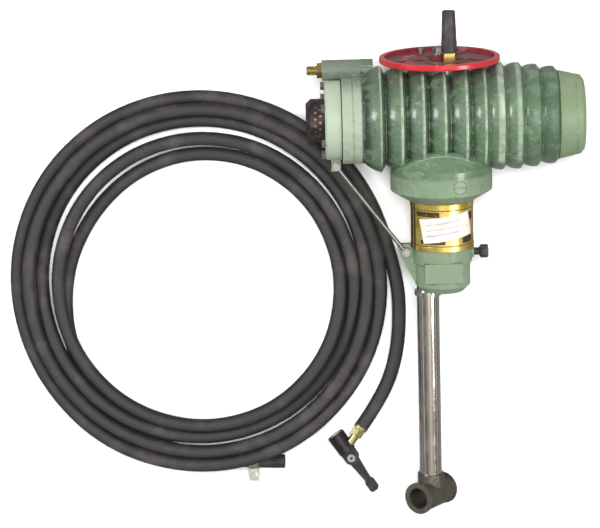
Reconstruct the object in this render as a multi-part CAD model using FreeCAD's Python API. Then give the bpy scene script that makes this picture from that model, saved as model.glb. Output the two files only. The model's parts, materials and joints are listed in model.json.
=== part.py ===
import FreeCAD, Part
import math
import os
from FreeCAD import Placement, Rotation, Vector

# Hand-cranked twin-cylinder air pump on a tubular leg, lying on its side, with a
# separate air hose coiled beside it. Millimetres.
#
# The pump is drawn in its own frame: X along the two cylinders, Y along the
# crankshaft towards the handwheel, Z away from the side it lies on, with the
# origin where the cylinder axis crosses the crankshaft. lay_down() then rests it
# on the floor. The hose is drawn where it lies, in the floor's frame: Z up, and
# the origin under the middle of the pump.

# ---------------------------------------------------------------- clearances
running_gap = 0.05      # radial, between a shaft and its bearing or a piston and its liner
seat_gap = 0.02         # radial, between pieces that stay put
free_gap = 0.4          # between moving faces that pass each other

# ---------------------------------------------------------------- how it lies
rest_roll = 5.0         # degrees about the crankshaft, the filter end is propped on the hose
rest_pitch = 4.7        # degrees, the handwheel end is higher than the foot

# ---------------------------------------------------------------- drum and fins
drum_left = -104.0      # machined face under the cylinder head
plain_band = 23.0       # smooth band between the head and the first fin
band_radius = 46.5
band_groove = 1.0
left_fins = 5
left_fin_pitch = 22.5
left_fin_depth = 8.0
right_fins = 5
right_fin_pitch = 18.5
right_fin_depth = 4.5
fin_crest_radius = 56.5
fin_crest_share = 0.8   # where the crest stands along its fin
fin_bulge = 1.6
shoulder_start = 80.0   # beyond this the crests get lower
shoulder_drop = 6.0
fin_start = drum_left + plain_band
drum_right = fin_start + left_fins * left_fin_pitch + right_fins * right_fin_pitch

# ---------------------------------------------------------------- crankcase neck
neck_radius = 54.0
neck_top = -30.0
neck_top_radius = 44.0
neck_shoulder = -50.0
neck_chamfer = -76.0
neck_bottom = -88.0
neck_bottom_radius = 34.6
cavity_radius = 33.0    # open to the bottom, closed by the brass sleeve
cavity_top = 34.0
boss_radius = 20.0      # bearing boss under the handwheel
boss_top = 58.0
plug_head_radius = 6.6
plug_thread_radius = 5.0
plug_head_thickness = 2.6
plug_height = -66.0
plug_slot_width = 1.6
plug_slot_depth = 1.2
plug_turn = 19.0        # degrees round the neck from the front

# ---------------------------------------------------------------- linkage
crank_throw = 9.0       # crankshaft to journal, and journal to each pin of the link
stroke = 4 * crank_throw
shaft_radius = 5.0
journal_radius = 4.0
pin_radius = 4.0
link_wall = 2.6
link_top = 23.8
link_bottom = 17.2
web_radius = 17.0
web_top = 30.0
guide_plate_top = 16.4
guide_plate_bottom = 10.0
guide_screw_radius = 2.0
guide_screw_circle = 29.5
guide_screw_count = 4
upper_cavity_radius = 26.0
bush_outer = 11.0
bush_length = 10.0
rod_radius = 7.0
rod_eye_radius = 10.0
rod_bush_outer = 10.0
bulkhead = 44.0         # outer face of the wall that carries each rod bush
bulkhead_inner = 34.0
clip_thickness = 1.0

# ---------------------------------------------------------------- cylinders and pistons
liner_outer = 31.0
liner_bore = 28.0
piston_thickness = 16.0
dead_length = 2.0       # left between a piston and its cylinder's end
piston_spigot = 5.0     # end of the rod that the piston sits on
ring_width = 3.0
ring_depth = 2.2
nut_height = 4.0
nut_flats = 11.0

# ---------------------------------------------------------------- left cylinder head
gasket_thickness = 1.0
head_radius = 42.0
head_thickness = 17.0
head_bolt_count = 6
head_bolt_circle = 37.0
head_bolt_radius = 2.5
head_bolt_length = 30.0
bolt_flats = 8.0
bolt_head_height = 4.0
head_face = drum_left - gasket_thickness
head_outer = head_face - head_thickness

# ---------------------------------------------------------------- inlet valve and filter
valve_lift = 2.5
inlet_pocket_radius = 12.0
inlet_pocket_depth = 7.0
inlet_disc_radius = 9.5
inlet_disc_thickness = 2.4
inlet_stem_radius = 2.0
inlet_stem_reach = 11.0
inlet_port_radius = 1.6
inlet_port_circle = 5.4
inlet_port_count = 6
inlet_spring_radius = 3.5
inlet_spring_wire = 0.55
inlet_spring_turns = 3.0
keeper_radius = 5.0
keeper_thickness = 2.0
filter_radius = 23.0
filter_length = 20.0
filter_wall = 2.0
filter_dome = 5.0
filter_hole_radius = 1.5
filter_hole_count = 20
foam_outer = 20.6
foam_inner = 15.0

# ---------------------------------------------------------------- outlet
outlet_boss_radius = 11.0
outlet_boss_gap = 0.5   # boss to cylinder head
outlet_boss_left = -124.0
outlet_turn = 20.0      # degrees from the handwheel side towards the back
outlet_chamber_radius = 6.5
outlet_seat_radius = 3.0
outlet_seat = -106.0
outlet_ball_radius = 4.5
outlet_lift = 2.0
outlet_port_radius = 2.2
outlet_port = -100.0
outlet_seat_margin = 1.0    # the seat bore runs this far past the port
outlet_spring_radius = 3.8
outlet_spring_wire = 0.45
outlet_spring_turns = 2.5
nipple_length = 16.0
nipple_radius = 5.2
nipple_barb = 1.0
nipple_bore = 2.6
nipple_shank = 3.0
nipple_flats = 15.0
nipple_hex = 5.0

# ---------------------------------------------------------------- right end cap
cap_radius = 47.0
cap_end_radius = 41.0
cap_length = 27.0
cap_chamfer = 3.5
cap_line = 18.0         # from the drum to the turned line
cap_spigot = 6.0
cap_pocket_radius = 24.0
cap_pocket_end = 10.0   # thickness of the cap's end wall
spanner_hole_radius = 2.5
spanner_hole_circle = 22.0
spanner_hole_depth = 5.0

# ---------------------------------------------------------------- handwheel and grip
wheel_radius = 63.5
wheel_bottom = 60.0
rim_height = 6.0
rim_width = 5.5
rim_round = 1.2
web_height = 2.6
hub_radius = 11.0
hub_height = 8.0
wheel_boss_radius = 21.5
wheel_boss_height = 4.2
wheel_boss_x = 6.0
wheel_boss_z = 12.0
wheel_boss_wall = 2.0
rib_count = 5
rib_width = 2.4
key_width = 3.0
key_length = 6.0
hub_nut_flats = 13.0
hub_nut_height = 5.0
washer_thickness = 1.2
washer_radius = 8.5
grip_x = 9.0            # handle from the crankshaft
grip_z = 26.0
grip_collar_side = 12.6
grip_collar_height = 9.0
grip_length = 44.0
grip_base_radius = 8.2
grip_top_radius = 6.9
grip_pin_radius = 3.0
grip_head_radius = 5.0
grip_head_height = 2.0
stud_x = -17.0
stud_z = -47.0
stud_radius = 3.2
stud_height = 4.5
stud_round = 1.4

# ---------------------------------------------------------------- brass sleeve and label
sleeve_radius = 33.3
sleeve_length = 51.0
sleeve_bore = 26.0
sleeve_floor = 8.0
sleeve_top_spigot = 12.0
sleeve_band = 5.0       # raised band at each end
sleeve_band_height = 0.5
foot_spigot_radius = 27.0
foot_spigot_length = 16.0
label_thickness = 0.35
label_height = 26.0
label_width = 52.0
label_tilt = 8.5        # degrees
label_turn = 7.0        # degrees round the sleeve
sleeve_bottom = neck_bottom - sleeve_length

# ---------------------------------------------------------------- foot collar, leg and eye
collar_radius = 31.5
collar_lower_radius = 29.5
collar_ring = 16.0
collar_length = 48.0
collar_chamfer = 7.0
collar_pad_width = 40.0
collar_pad_height = 21.0
collar_pad_reach = 33.0
lug_reach = 48.0
lug_height = 40.0
lug_foot_reach = 31.0
lug_thickness = 10.0
leg_offset = -16.0
leg_radius = 12.0
leg_wall = 1.5
leg_socket = 27.5
leg_ring_flange = 2.4
leg_ring_height = 5.0
eye_centre = -415.0
eye_radius = 16.0
eye_bore = 11.5
eye_length = 50.0
eye_turn = 37.0         # degrees about the leg
eye_lip = 1.2
eye_stub_radius = 14.2
eye_stub_top = 23.0
eye_socket = 6.5
thumb_screw_height = 7.0    # below the top of the collar
thumb_screw_radius = 4.0
thumb_boss_radius = 6.2
thumb_boss_reach = 33.5
thumb_neck_reach = 39.0
thumb_head_reach = 49.0
thumb_head_radius = 7.2
thumb_flutes = 8
collar_bottom = sleeve_bottom - collar_length

# ---------------------------------------------------------------- stay rod
stay_radius = 2.2
stay_pad_radius = 5.0
stay_pad_thickness = 5.2
stay_lug_left = -116.0
stay_lug_width = 10.0
stay_lug_top = -38.0
stay_lug_bottom = -57.0
stay_lug_back = -20.0
stay_lug_front = -8.0
stay_bolt_radius = 2.0
stay_bolt_depth = 7.0
small_flats = 7.0       # hexagon of the stay and clamp screws
small_head = 2.8
small_nut = 2.4
stay_foot_inset = 9.0   # bolt from the tip of the collar's lug

# ---------------------------------------------------------------- hose, in the floor's frame
hose_radius = 7.5
coil_x = -272.0
coil_y = -17.0
coil_half_width = 205.0
coil_half_height = 203.0
coil_band = 62.0        # from the inside of the coil to its outside
coil_thickness = 30.0
coil_edge = 6.0
lead_route = [
    (-80.0, 12.0, 7.7),
    (-62.0, -28.0, 7.7),
    (-54.0, -72.0, 7.7),
    (-60.5, -118.0, 8.0),
    (-77.0, -156.5, 8.8),
    (-97.2, -185.5, 10.0),
]
tail_route = [
    (-345.0, -192.0, 9.0),
    (-299.0, -215.0, 9.0),
    (-250.0, -224.8, 9.0),
    (-182.5, -224.8, 9.0),
]
clamp_from_end = 34.0
clamp_width = 10.5
clamp_thickness = 1.1
clamp_lug_reach = 12.5
clamp_lug_height = 9.0
clamp_lug_thickness = 1.6
clamp_slit = 4.0
clamp_bolt_radius = 2.0
barb_ferrule_length = 3.0
barb_ferrule_radius = 7.9
barb_flats = 13.0
barb_hex_length = 9.0
barb_shank_radius = 4.5
barb_shank_length = 14.0

# ---------------------------------------------------------------- tyre chuck, in the floor's frame
chuck_mouth = (-126.5, -194.5, 10.0)
chuck_heading = -55.0   # degrees, from the mouth to the lever's tip
chuck_radius = 9.7
chuck_barrel = 23.0
chuck_bore = 4.2
chuck_bore_depth = 14.0
chuck_seal_radius = 7.0
chuck_seal_depth = 4.0
pivot_along = 31.0      # lever pivot from the mouth
cheek_radius = 7.6
cheek_thickness = 3.2
lever_thickness = 7.4
lever_hub_radius = 7.0
lever_length = 45.0
lever_neck = 6.6
lever_tip = 10.0
lever_tip_length = 12.0
rivet_radius = 3.0
rivet_bore = 1.6
rivet_head = 0.8
rivet_head_radius = 4.4

# ---------------------------------------------------------------- placing helpers
AXIS_X = Vector(1, 0, 0)
AXIS_Y = Vector(0, 1, 0)
AXIS_Z = Vector(0, 0, 1)


def cylinder_x(radius, start, end, y=0.0, z=0.0):
    """Cylinder along X from start to end."""
    return Part.makeCylinder(radius, end - start, Vector(start, y, z), AXIS_X)


def cylinder_y(radius, start, end, x=0.0, z=0.0):
    """Cylinder along Y from start to end."""
    return Part.makeCylinder(radius, end - start, Vector(x, start, z), AXIS_Y)


def cylinder_z(radius, start, end, x=0.0, y=0.0):
    """Cylinder along Z from start to end."""
    return Part.makeCylinder(radius, end - start, Vector(x, y, start), AXIS_Z)


def block(x0, x1, y0, y1, z0, z1):
    """Box between two corners."""
    return Part.makeBox(x1 - x0, y1 - y0, z1 - z0, Vector(x0, y0, z0))


def hexagon_prism(flats, height):
    """Hexagon across flats, standing on the origin along Z."""
    corner = flats / math.sqrt(3)
    points = []
    for i in range(7):
        turn = math.radians(60 * i)
        points.append(Vector(corner * math.cos(turn), corner * math.sin(turn), 0))
    return Part.Face(Part.makePolygon(points)).extrude(Vector(0, 0, height))


def aimed(shape, base, direction):
    """A shape drawn along Z from the origin, moved to base and turned along direction."""
    moved = shape.copy()
    moved.Placement = Placement(base, Rotation(AXIS_Z, direction)).multiply(shape.Placement)
    return moved


def spun(shape, axis, degrees, centre=Vector(0, 0, 0)):
    """A copy turned about an axis through centre."""
    turned = shape.copy()
    turned.rotate(centre, axis, degrees)
    return turned


def is_circle(edge, radius):
    """Whether an edge is a circle of this radius."""
    return isinstance(edge.Curve, Part.Circle) and abs(edge.Curve.Radius - radius) < 0.01


def fused(shapes):
    """One solid from touching shapes, with seams removed."""
    return shapes[0].multiFuse(shapes[1:]).removeSplitter()


def revolved(edges, axis):
    """Solid of revolution of closed outline edges in the XY plane, about X or Y."""
    outline = Part.Wire(edges)
    return Part.Face(outline).revolve(Vector(0, 0, 0), axis, 360)


def outline_edges(points):
    """Straight edges through points, closed."""
    corners = [Vector(x, y, 0) for x, y in points]
    corners.append(corners[0])
    return Part.makePolygon(corners).Edges


def turned_x(points):
    """Solid turned about X from (x, radius) points that start and end on the axis."""
    return revolved(outline_edges(points), AXIS_X)


def turned_y(points):
    """Solid turned about Y from (radius, y) points that start and end on the axis."""
    return revolved(outline_edges(points), AXIS_Y)


def tube_x(outer, inner, start, end, y=0.0, z=0.0):
    """Ring or tube along X."""
    return cylinder_x(outer, start, end, y, z).cut(cylinder_x(inner, start, end, y, z))


def tube_y(outer, inner, start, end, x=0.0, z=0.0):
    """Ring or tube along Y."""
    return cylinder_y(outer, start, end, x, z).cut(cylinder_y(inner, start, end, x, z))


def coil_spring(mean_radius, wire_radius, length, turns):
    """Helical compression spring along Z from the origin."""
    helix = Part.makeHelix((length - 2 * wire_radius) / turns, length - 2 * wire_radius, mean_radius)
    section = Part.Wire(Part.makeCircle(wire_radius, Vector(mean_radius, 0, 0), AXIS_Y))
    spring = Part.Wire(helix.Edges).makePipeShell([section], True, True)
    spring.translate(Vector(0, 0, wire_radius))
    return spring


def outlet_centre():
    """Y and Z of the outlet boss."""
    reach = head_radius + outlet_boss_gap + outlet_boss_radius
    turn = math.radians(outlet_turn)
    return reach * math.cos(turn), -reach * math.sin(turn)


def piston_centres():
    """X of the left and the right piston at mid-stroke."""
    reach = dead_length + piston_thickness / 2 + stroke / 2
    return drum_left + reach, drum_right - cap_spigot - reach


# ---------------------------------------------------------------- crankcase
def crest_radius(x):
    """Radius of the fin crests, lower towards the end cap."""
    past = max(0.0, x - shoulder_start) / (drum_right - shoulder_start)
    return fin_crest_radius - shoulder_drop * past


def fin_edges():
    """Outline of the fins: each swells to a crest and drops steeply to the next groove."""
    edges = []
    start = Vector(fin_start, band_radius, 0)
    for fin in range(left_fins + right_fins):
        pitch = left_fin_pitch if fin < left_fins else right_fin_pitch
        depth = left_fin_depth if fin < left_fins else right_fin_depth
        crest_x = start.x + fin_crest_share * pitch
        crest = Vector(crest_x, crest_radius(crest_x), 0)
        end_x = start.x + pitch
        end = Vector(end_x, crest_radius(end_x) - depth, 0)
        middle = (start + crest) * 0.5 + Vector(0, fin_bulge, 0)
        edges.append(Part.Arc(start, middle, crest).toShape())
        edges.append(Part.LineSegment(crest, end).toShape())
        start = end
    return edges


def finned_drum():
    """The horizontal casting over both cylinders."""
    fins = fin_edges()
    groove = drum_left + plain_band / 2
    left = [
        Vector(drum_left, 0, 0),
        Vector(drum_left, band_radius, 0),
        Vector(groove - band_groove, band_radius, 0),
        Vector(groove, band_radius - band_groove, 0),
        Vector(groove + band_groove, band_radius, 0),
        Vector(fin_start, band_radius, 0),
    ]
    last = fins[-1].Vertexes[-1].Point
    right = [last, Vector(drum_right, 0, 0), left[0]]
    edges = Part.makePolygon(left).Edges + fins + Part.makePolygon(right).Edges
    return revolved(edges, AXIS_X)


def outlet_bores():
    """Valve chamber, seat and cross port, cut from the casting and the left liner."""
    y, z = outlet_centre()
    chamber = cylinder_x(outlet_chamber_radius, outlet_boss_left, outlet_seat, y, z)
    seat_end = outlet_port + outlet_port_radius + outlet_seat_margin
    seat = cylinder_x(outlet_seat_radius, outlet_seat, seat_end, y, z)
    inward = Vector(0, -y, -z)
    reach = inward.Length - liner_bore + 1
    port = Part.makeCylinder(outlet_port_radius, reach, Vector(outlet_port, y, z), inward)
    return fused([chamber, seat, port])


def head_bolt_stations():
    """(y, z) of each head bolt."""
    stations = []
    for i in range(head_bolt_count):
        turn = math.radians(360 * i / head_bolt_count - 90)
        stations.append((head_bolt_circle * math.sin(turn), head_bolt_circle * math.cos(turn)))
    return stations


def guide_screw_stations():
    """(x, z) of each screw of the guide plate."""
    stations = []
    for i in range(guide_screw_count):
        turn = math.radians(360 * (i + 0.5) / guide_screw_count)
        stations.append((guide_screw_circle * math.cos(turn), guide_screw_circle * math.sin(turn)))
    return stations


def plug_axis():
    """Base on the neck's surface and outward direction of the filler plug."""
    turn = math.radians(plug_turn)
    outward = Vector(math.sin(turn), 0, math.cos(turn))
    return Vector(0, plug_height, 0) + outward * (neck_radius - plug_head_thickness), outward


def crankcase():
    """Finned drum, neck and bearing boss in one casting."""
    neck = turned_y([
        (0, neck_top),
        (neck_top_radius, neck_top),
        (neck_radius, neck_shoulder),
        (neck_radius, neck_chamfer),
        (neck_bottom_radius, neck_bottom),
        (0, neck_bottom),
    ])
    boss = cylinder_y(boss_radius, 0, boss_top)
    y, z = outlet_centre()
    outlet_boss = cylinder_x(outlet_boss_radius, outlet_boss_left, fin_start + left_fin_pitch / 2, y, z)
    casting = fused([finned_drum(), neck, boss, outlet_boss])
    base, outward = plug_axis()
    cuts = [
        cylinder_x(liner_outer + seat_gap, drum_left, -bulkhead),
        cylinder_x(liner_outer + seat_gap, bulkhead, drum_right),
        cylinder_x(rod_bush_outer + seat_gap, -bulkhead, bulkhead),
        cylinder_y(cavity_radius, neck_bottom, guide_plate_top),
        cylinder_y(upper_cavity_radius, guide_plate_top, cavity_top),
        cylinder_y(bush_outer + seat_gap, cavity_top, boss_top),
        outlet_bores(),
        Part.makeCylinder(plug_head_radius + seat_gap, neck_radius, base, outward),
        Part.makeCylinder(plug_thread_radius + seat_gap, neck_radius - cavity_radius, base, outward * -1),
    ]
    for bolt_y, bolt_z in head_bolt_stations():
        depth = head_bolt_length - head_thickness - gasket_thickness
        cuts.append(cylinder_x(head_bolt_radius + seat_gap, drum_left, drum_left + depth, bolt_y, bolt_z))
    for x, screw_z in guide_screw_stations():
        cuts.append(cylinder_y(guide_screw_radius + seat_gap, guide_plate_top, guide_plate_top + 9, x, screw_z))
    return casting.cut(cutters(cuts))


def cutters(shapes):
    """Cutting tools as one compound."""
    return Part.makeCompound(shapes)


def liner_left():
    """Cast-iron liner of the filter-end cylinder, with the discharge port."""
    liner = tube_x(liner_outer, liner_bore, drum_left, -bulkhead)
    return liner.cut(outlet_bores())


def liner_right():
    """Liner of the plain-end cylinder."""
    return tube_x(liner_outer, liner_bore, bulkhead, drum_right - cap_spigot)


def rod_bush(side):
    """Bronze guide of the piston rod in one bulkhead; side is -1 or 1."""
    start, end = sorted((side * bulkhead_inner, side * bulkhead))
    return tube_x(rod_bush_outer, rod_radius + running_gap, start, end)


def neck_plug():
    """Slotted filler plug in the front of the neck."""
    base, outward = plug_axis()
    head = Part.makeCylinder(plug_head_radius, plug_head_thickness, Vector(0, 0, 0), AXIS_Z)
    thread_length = neck_radius - cavity_radius - plug_head_thickness - 4
    thread = Part.makeCylinder(plug_thread_radius, thread_length, Vector(0, 0, -thread_length), AXIS_Z)
    plug = fused([head, thread])
    half = plug_slot_width / 2
    slot_floor = plug_head_thickness - plug_slot_depth
    slot = block(-plug_head_radius, plug_head_radius, -half, half, slot_floor, plug_head_thickness)
    return aimed(plug.cut(slot), base, outward)


# ---------------------------------------------------------------- left head, inlet and filter
def head_gasket():
    """Gasket between the drum and the cylinder head."""
    gasket = tube_x(head_radius, liner_bore, head_face, drum_left)
    for y, z in head_bolt_stations():
        gasket = gasket.cut(cylinder_x(head_bolt_radius + seat_gap, head_face, drum_left, y, z))
    return gasket


def cylinder_head():
    """Head over the left cylinder, with the inlet valve's seat and the stay's lug."""
    chamfer = 2.0
    disc = turned_x([
        (head_face, 0),
        (head_face, head_radius),
        (head_outer + chamfer, head_radius),
        (head_outer, head_radius - chamfer),
        (head_outer, 0),
    ])
    lug = block(
        stay_lug_left, stay_lug_left + stay_lug_width,
        stay_lug_bottom, stay_lug_top,
        stay_lug_back, stay_lug_front,
    )
    bolt_x, bolt_y, _ = stay_top()
    cuts = [
        cylinder_x(inlet_pocket_radius, head_face - inlet_pocket_depth, head_face),
        cylinder_x(inlet_stem_radius + running_gap, head_outer, head_face),
        cylinder_z(stay_bolt_radius + seat_gap, stay_lug_front - stay_bolt_depth, stay_lug_front, bolt_x, bolt_y),
    ]
    for i in range(inlet_port_count):
        turn = 2 * math.pi * i / inlet_port_count
        y, z = inlet_port_circle * math.sin(turn), inlet_port_circle * math.cos(turn)
        cuts.append(cylinder_x(inlet_port_radius, head_outer, head_face, y, z))
    for y, z in head_bolt_stations():
        cuts.append(cylinder_x(head_bolt_radius + seat_gap, head_outer, head_face, y, z))
    return fused([disc, lug]).cut(cutters(cuts))


def head_bolts():
    """Hexagon bolts that hold the head and its gasket on the drum."""
    bolts = []
    for y, z in head_bolt_stations():
        shank = Part.makeCylinder(head_bolt_radius, head_bolt_length, Vector(0, 0, -head_bolt_length), AXIS_Z)
        bolt = fused([hexagon_prism(bolt_flats, bolt_head_height), shank])
        bolts.append(aimed(bolt, Vector(head_outer, y, z), AXIS_X * -1))
    return Part.makeCompound(bolts)


def inlet_valve():
    """Mushroom valve that opens into the cylinder."""
    seat = head_face - inlet_pocket_depth
    stem_end = head_outer - inlet_stem_reach
    disc = cylinder_x(inlet_disc_radius, seat + seat_gap, seat + inlet_disc_thickness)
    return fused([disc, cylinder_x(inlet_stem_radius, stem_end, seat + 1)])


def inlet_keeper():
    """Spring keeper pressed on the end of the inlet valve's stem."""
    stem_end = head_outer - inlet_stem_reach
    return tube_x(keeper_radius, inlet_stem_radius, stem_end, stem_end + keeper_thickness)


def inlet_spring():
    """Light spring under the keeper, short of the head by the valve's lift."""
    start = head_outer - inlet_stem_reach + keeper_thickness
    length = inlet_stem_reach - keeper_thickness - valve_lift - free_gap
    spring = coil_spring(inlet_spring_radius, inlet_spring_wire, length, inlet_spring_turns)
    return aimed(spring, Vector(start, 0, 0), AXIS_X)


def filter_cap():
    """Perforated cup over the inlet."""
    left = head_outer - filter_length
    cup = turned_x([
        (head_outer, 0),
        (head_outer, filter_radius),
        (left + filter_dome, filter_radius),
        (left, filter_radius - filter_dome),
        (left, 0),
    ])
    hollow = turned_x([
        (head_outer, 0),
        (head_outer, filter_radius - filter_wall),
        (left + filter_dome, filter_radius - filter_wall),
        (left + filter_wall, filter_radius - filter_dome),
        (left + filter_wall, 0),
    ])
    cuts = [hollow]
    side = head_outer - (filter_length - filter_dome) / 2
    for row in (-1, 1):
        for i in range(filter_hole_count):
            turn = 2 * math.pi * (i + row / 4) / filter_hole_count
            outward = Vector(0, math.sin(turn), math.cos(turn))
            base = Vector(side + row * 2.6, 0, 0)
            cuts.append(Part.makeCylinder(filter_hole_radius, filter_radius + 1, base, outward))
    for circle, count in ((5.0, 6), (10.5, 12)):
        for i in range(count):
            turn = 2 * math.pi * i / count
            y, z = circle * math.sin(turn), circle * math.cos(turn)
            cuts.append(cylinder_x(filter_hole_radius, left, left + filter_wall + 1, y, z))
    return cup.cut(cutters(cuts))


def filter_foam():
    """Ring of filter foam inside the cap."""
    right = head_outer
    left = head_outer - filter_length + filter_dome
    return tube_x(foam_outer, foam_inner, left, right)


# ---------------------------------------------------------------- outlet
def outlet_ball():
    """Non-return ball, resting on the edge of its seat."""
    y, z = outlet_centre()
    back = math.sqrt(outlet_ball_radius ** 2 - outlet_seat_radius ** 2) + running_gap
    return Part.makeSphere(outlet_ball_radius, Vector(outlet_seat - back, y, z))


def outlet_spring():
    """Spring behind the ball, short of the nipple by the ball's lift."""
    y, z = outlet_centre()
    back = math.sqrt(outlet_ball_radius ** 2 - outlet_seat_radius ** 2) + running_gap
    start = outlet_seat - back - outlet_ball_radius + 0.6
    end = outlet_boss_left + nipple_shank + outlet_lift + free_gap
    spring = coil_spring(outlet_spring_radius, outlet_spring_wire, start - end, outlet_spring_turns)
    return aimed(spring, Vector(start, y, z), AXIS_X * -1)


def outlet_nipple():
    """Barbed nipple that takes the hose."""
    y, z = outlet_centre()
    shank = Part.makeCylinder(outlet_chamber_radius - seat_gap, nipple_shank, Vector(0, 0, -nipple_shank), AXIS_Z)
    hexagon = hexagon_prism(nipple_flats, nipple_hex)
    parts = [shank, hexagon]
    barbs = 3
    barb_length = (nipple_length - nipple_hex) / barbs
    for i in range(barbs):
        base = Vector(0, 0, nipple_hex + i * barb_length)
        parts.append(Part.makeCone(nipple_radius, nipple_radius - nipple_barb, barb_length, base, AXIS_Z))
    bore = Part.makeCylinder(nipple_bore, nipple_length + nipple_shank, Vector(0, 0, -nipple_shank), AXIS_Z)
    nipple = fused(parts).cut(bore)
    return aimed(nipple, Vector(outlet_boss_left, y, z), AXIS_X * -1)


# ---------------------------------------------------------------- right end
def end_cap():
    """Screwed cap that closes the right cylinder."""
    end = drum_right + cap_length
    line = drum_right + cap_line
    slope = (cap_radius - cap_end_radius) / cap_length
    line_radius = cap_radius - slope * cap_line
    cap = turned_x([
        (drum_right - cap_spigot, 0),
        (drum_right - cap_spigot, liner_outer),
        (drum_right, liner_outer),
        (drum_right, cap_radius),
        (line - 0.8, line_radius + slope * 0.8),
        (line, line_radius - 0.8),
        (line + 0.8, line_radius - slope * 0.8),
        (end - cap_chamfer, cap_end_radius + slope * cap_chamfer),
        (end, cap_end_radius - cap_chamfer),
        (end, 0),
    ])
    cuts = [cylinder_x(cap_pocket_radius, drum_right - cap_spigot, end - cap_pocket_end)]
    for side in (-1, 1):
        cuts.append(cylinder_x(spanner_hole_radius, end - spanner_hole_depth, end, side * spanner_hole_circle, 0))
    return cap.cut(cutters(cuts))


# ---------------------------------------------------------------- bearings and linkage
def shaft_bush(lower):
    """Bronze bush of the crankshaft."""
    start = cavity_top if lower else boss_top - bush_length - 3.0
    return tube_y(bush_outer, shaft_radius + running_gap, start, start + bush_length)


def shaft_seal():
    """Felt seal over the upper bush."""
    return tube_y(bush_outer, shaft_radius + running_gap, boss_top - 3.0, boss_top - 0.5)


def guide_plate():
    """Fixed plate whose crossed slots guide the two pins of the link."""
    plate = cylinder_y(cavity_radius - seat_gap, guide_plate_bottom, guide_plate_top)
    half_length = 2 * crank_throw
    half_width = pin_radius + running_gap * 2
    cuts = []
    for along_x in (True, False):
        across = (half_length, half_width) if along_x else (half_width, half_length)
        cuts.append(block(-across[0], across[0], guide_plate_bottom, guide_plate_top, -across[1], across[1]))
        for side in (-1, 1):
            x = side * half_length if along_x else 0.0
            z = 0.0 if along_x else side * half_length
            cuts.append(cylinder_y(half_width, guide_plate_bottom, guide_plate_top, x, z))
    for x, z in guide_screw_stations():
        cuts.append(cylinder_y(guide_screw_radius + seat_gap, guide_plate_bottom, guide_plate_top, x, z))
    return plate.cut(cutters(cuts))


def guide_screws():
    """Cheese-head screws that hold the guide plate against its shoulder."""
    screws = []
    for x, z in guide_screw_stations():
        shank = cylinder_y(guide_screw_radius, guide_plate_bottom, guide_plate_top + 8, x, z)
        head = cylinder_y(guide_screw_radius * 1.6, guide_plate_bottom - 2.4, guide_plate_bottom, x, z)
        screws.append(fused([shank, head]))
    return Part.makeCompound(screws)


def crankshaft():
    """Shaft, round web and offset journal."""
    shaft = cylinder_y(shaft_radius, web_top, wheel_top_of_hub() + washer_thickness + hub_nut_height + 1.5)
    web_bottom = link_top + free_gap
    web = cylinder_y(web_radius, web_bottom, web_top)
    journal = cylinder_y(journal_radius, link_bottom + 1.5, web_bottom, 0, crank_throw)
    thrust = cylinder_y(shaft_radius + 3, web_top, cavity_top - free_gap)
    shape = fused([shaft, web, journal, thrust])
    return shape.cut(key_block(seat_gap))


def trammel_link():
    """Link on the journal, with one pin in each slot of the guide plate."""
    outer = pin_radius + link_wall
    far = 2 * crank_throw
    bar = fused([
        cylinder_y(outer, link_bottom, link_top),
        cylinder_y(outer, link_bottom, link_top, 0, far),
        block(-outer, outer, link_bottom, link_top, 0, far),
    ])
    hole = cylinder_y(journal_radius + running_gap, link_bottom + 1.2, link_top, 0, crank_throw)
    rod_pin = cylinder_y(pin_radius, -rod_radius - 3 * clip_thickness, link_bottom)
    slide_pin = cylinder_y(pin_radius, guide_plate_bottom + 0.5, link_bottom, 0, far)
    link = fused([bar.cut(hole), rod_pin, slide_pin])
    groove_top = -rod_radius - free_gap
    groove = tube_y(pin_radius + 1, pin_radius - 0.8, groove_top - clip_thickness, groove_top)
    return link.cut(groove)


def rod_clip():
    """Retaining clip under the piston rod."""
    top = -rod_radius - free_gap
    ring = tube_y(pin_radius + 2.2, pin_radius - 0.8, top - clip_thickness, top)
    return ring.cut(block(0, pin_radius + 3, top - clip_thickness, top, -1.5, 1.5))


def piston_rod():
    """Rod from piston to piston, with an eye for the link's pin."""
    left, right = piston_centres()
    half = piston_thickness / 2
    rod = cylinder_x(rod_radius, left + half, right - half)
    eye = cylinder_y(rod_eye_radius, -rod_radius, rod_radius)
    spigot_left = cylinder_x(piston_spigot, left - half - nut_height, left + half)
    spigot_right = cylinder_x(piston_spigot, right - half, right + half + nut_height)
    hole = cylinder_y(pin_radius + running_gap, -rod_radius, rod_radius)
    return fused([rod, eye, spigot_left, spigot_right]).cut(hole)


def piston(centre):
    """Piston with a ring groove, recessed at both faces."""
    half = piston_thickness / 2
    body = tube_x(liner_bore - running_gap, piston_spigot, centre - half, centre + half)
    groove = tube_x(liner_bore, liner_bore - ring_depth, centre - ring_width / 2, centre + ring_width / 2)
    return body.cut(groove)


def piston_ring(centre):
    """Ring in the piston's groove."""
    half = ring_width / 2
    return tube_x(liner_bore - running_gap / 2, liner_bore - ring_depth, centre - half, centre + half)


def piston_nut(face, outward):
    """Nut on the end of the rod, against the piston's face."""
    nut = hexagon_prism(nut_flats, nut_height - 2.2)
    nut = nut.cut(Part.makeCylinder(piston_spigot, nut_height, Vector(0, 0, 0), AXIS_Z))
    return aimed(nut, Vector(face, 0, 0), AXIS_X * outward)


# ---------------------------------------------------------------- handwheel
def wheel_top_of_hub():
    """Y of the top of the handwheel's hub."""
    return wheel_bottom + hub_height


def key_block(gap):
    """Key between the shaft and the hub, grown by gap."""
    top = wheel_bottom + 1.0 + key_length
    half = key_width / 2 + gap
    return block(-half, half, wheel_bottom + 1.0 - gap, top + gap, shaft_radius - 1.6 - gap, shaft_radius + 1.6 + gap)


def wheel_key():
    """Square key in the hub."""
    return key_block(0.0)


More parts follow.
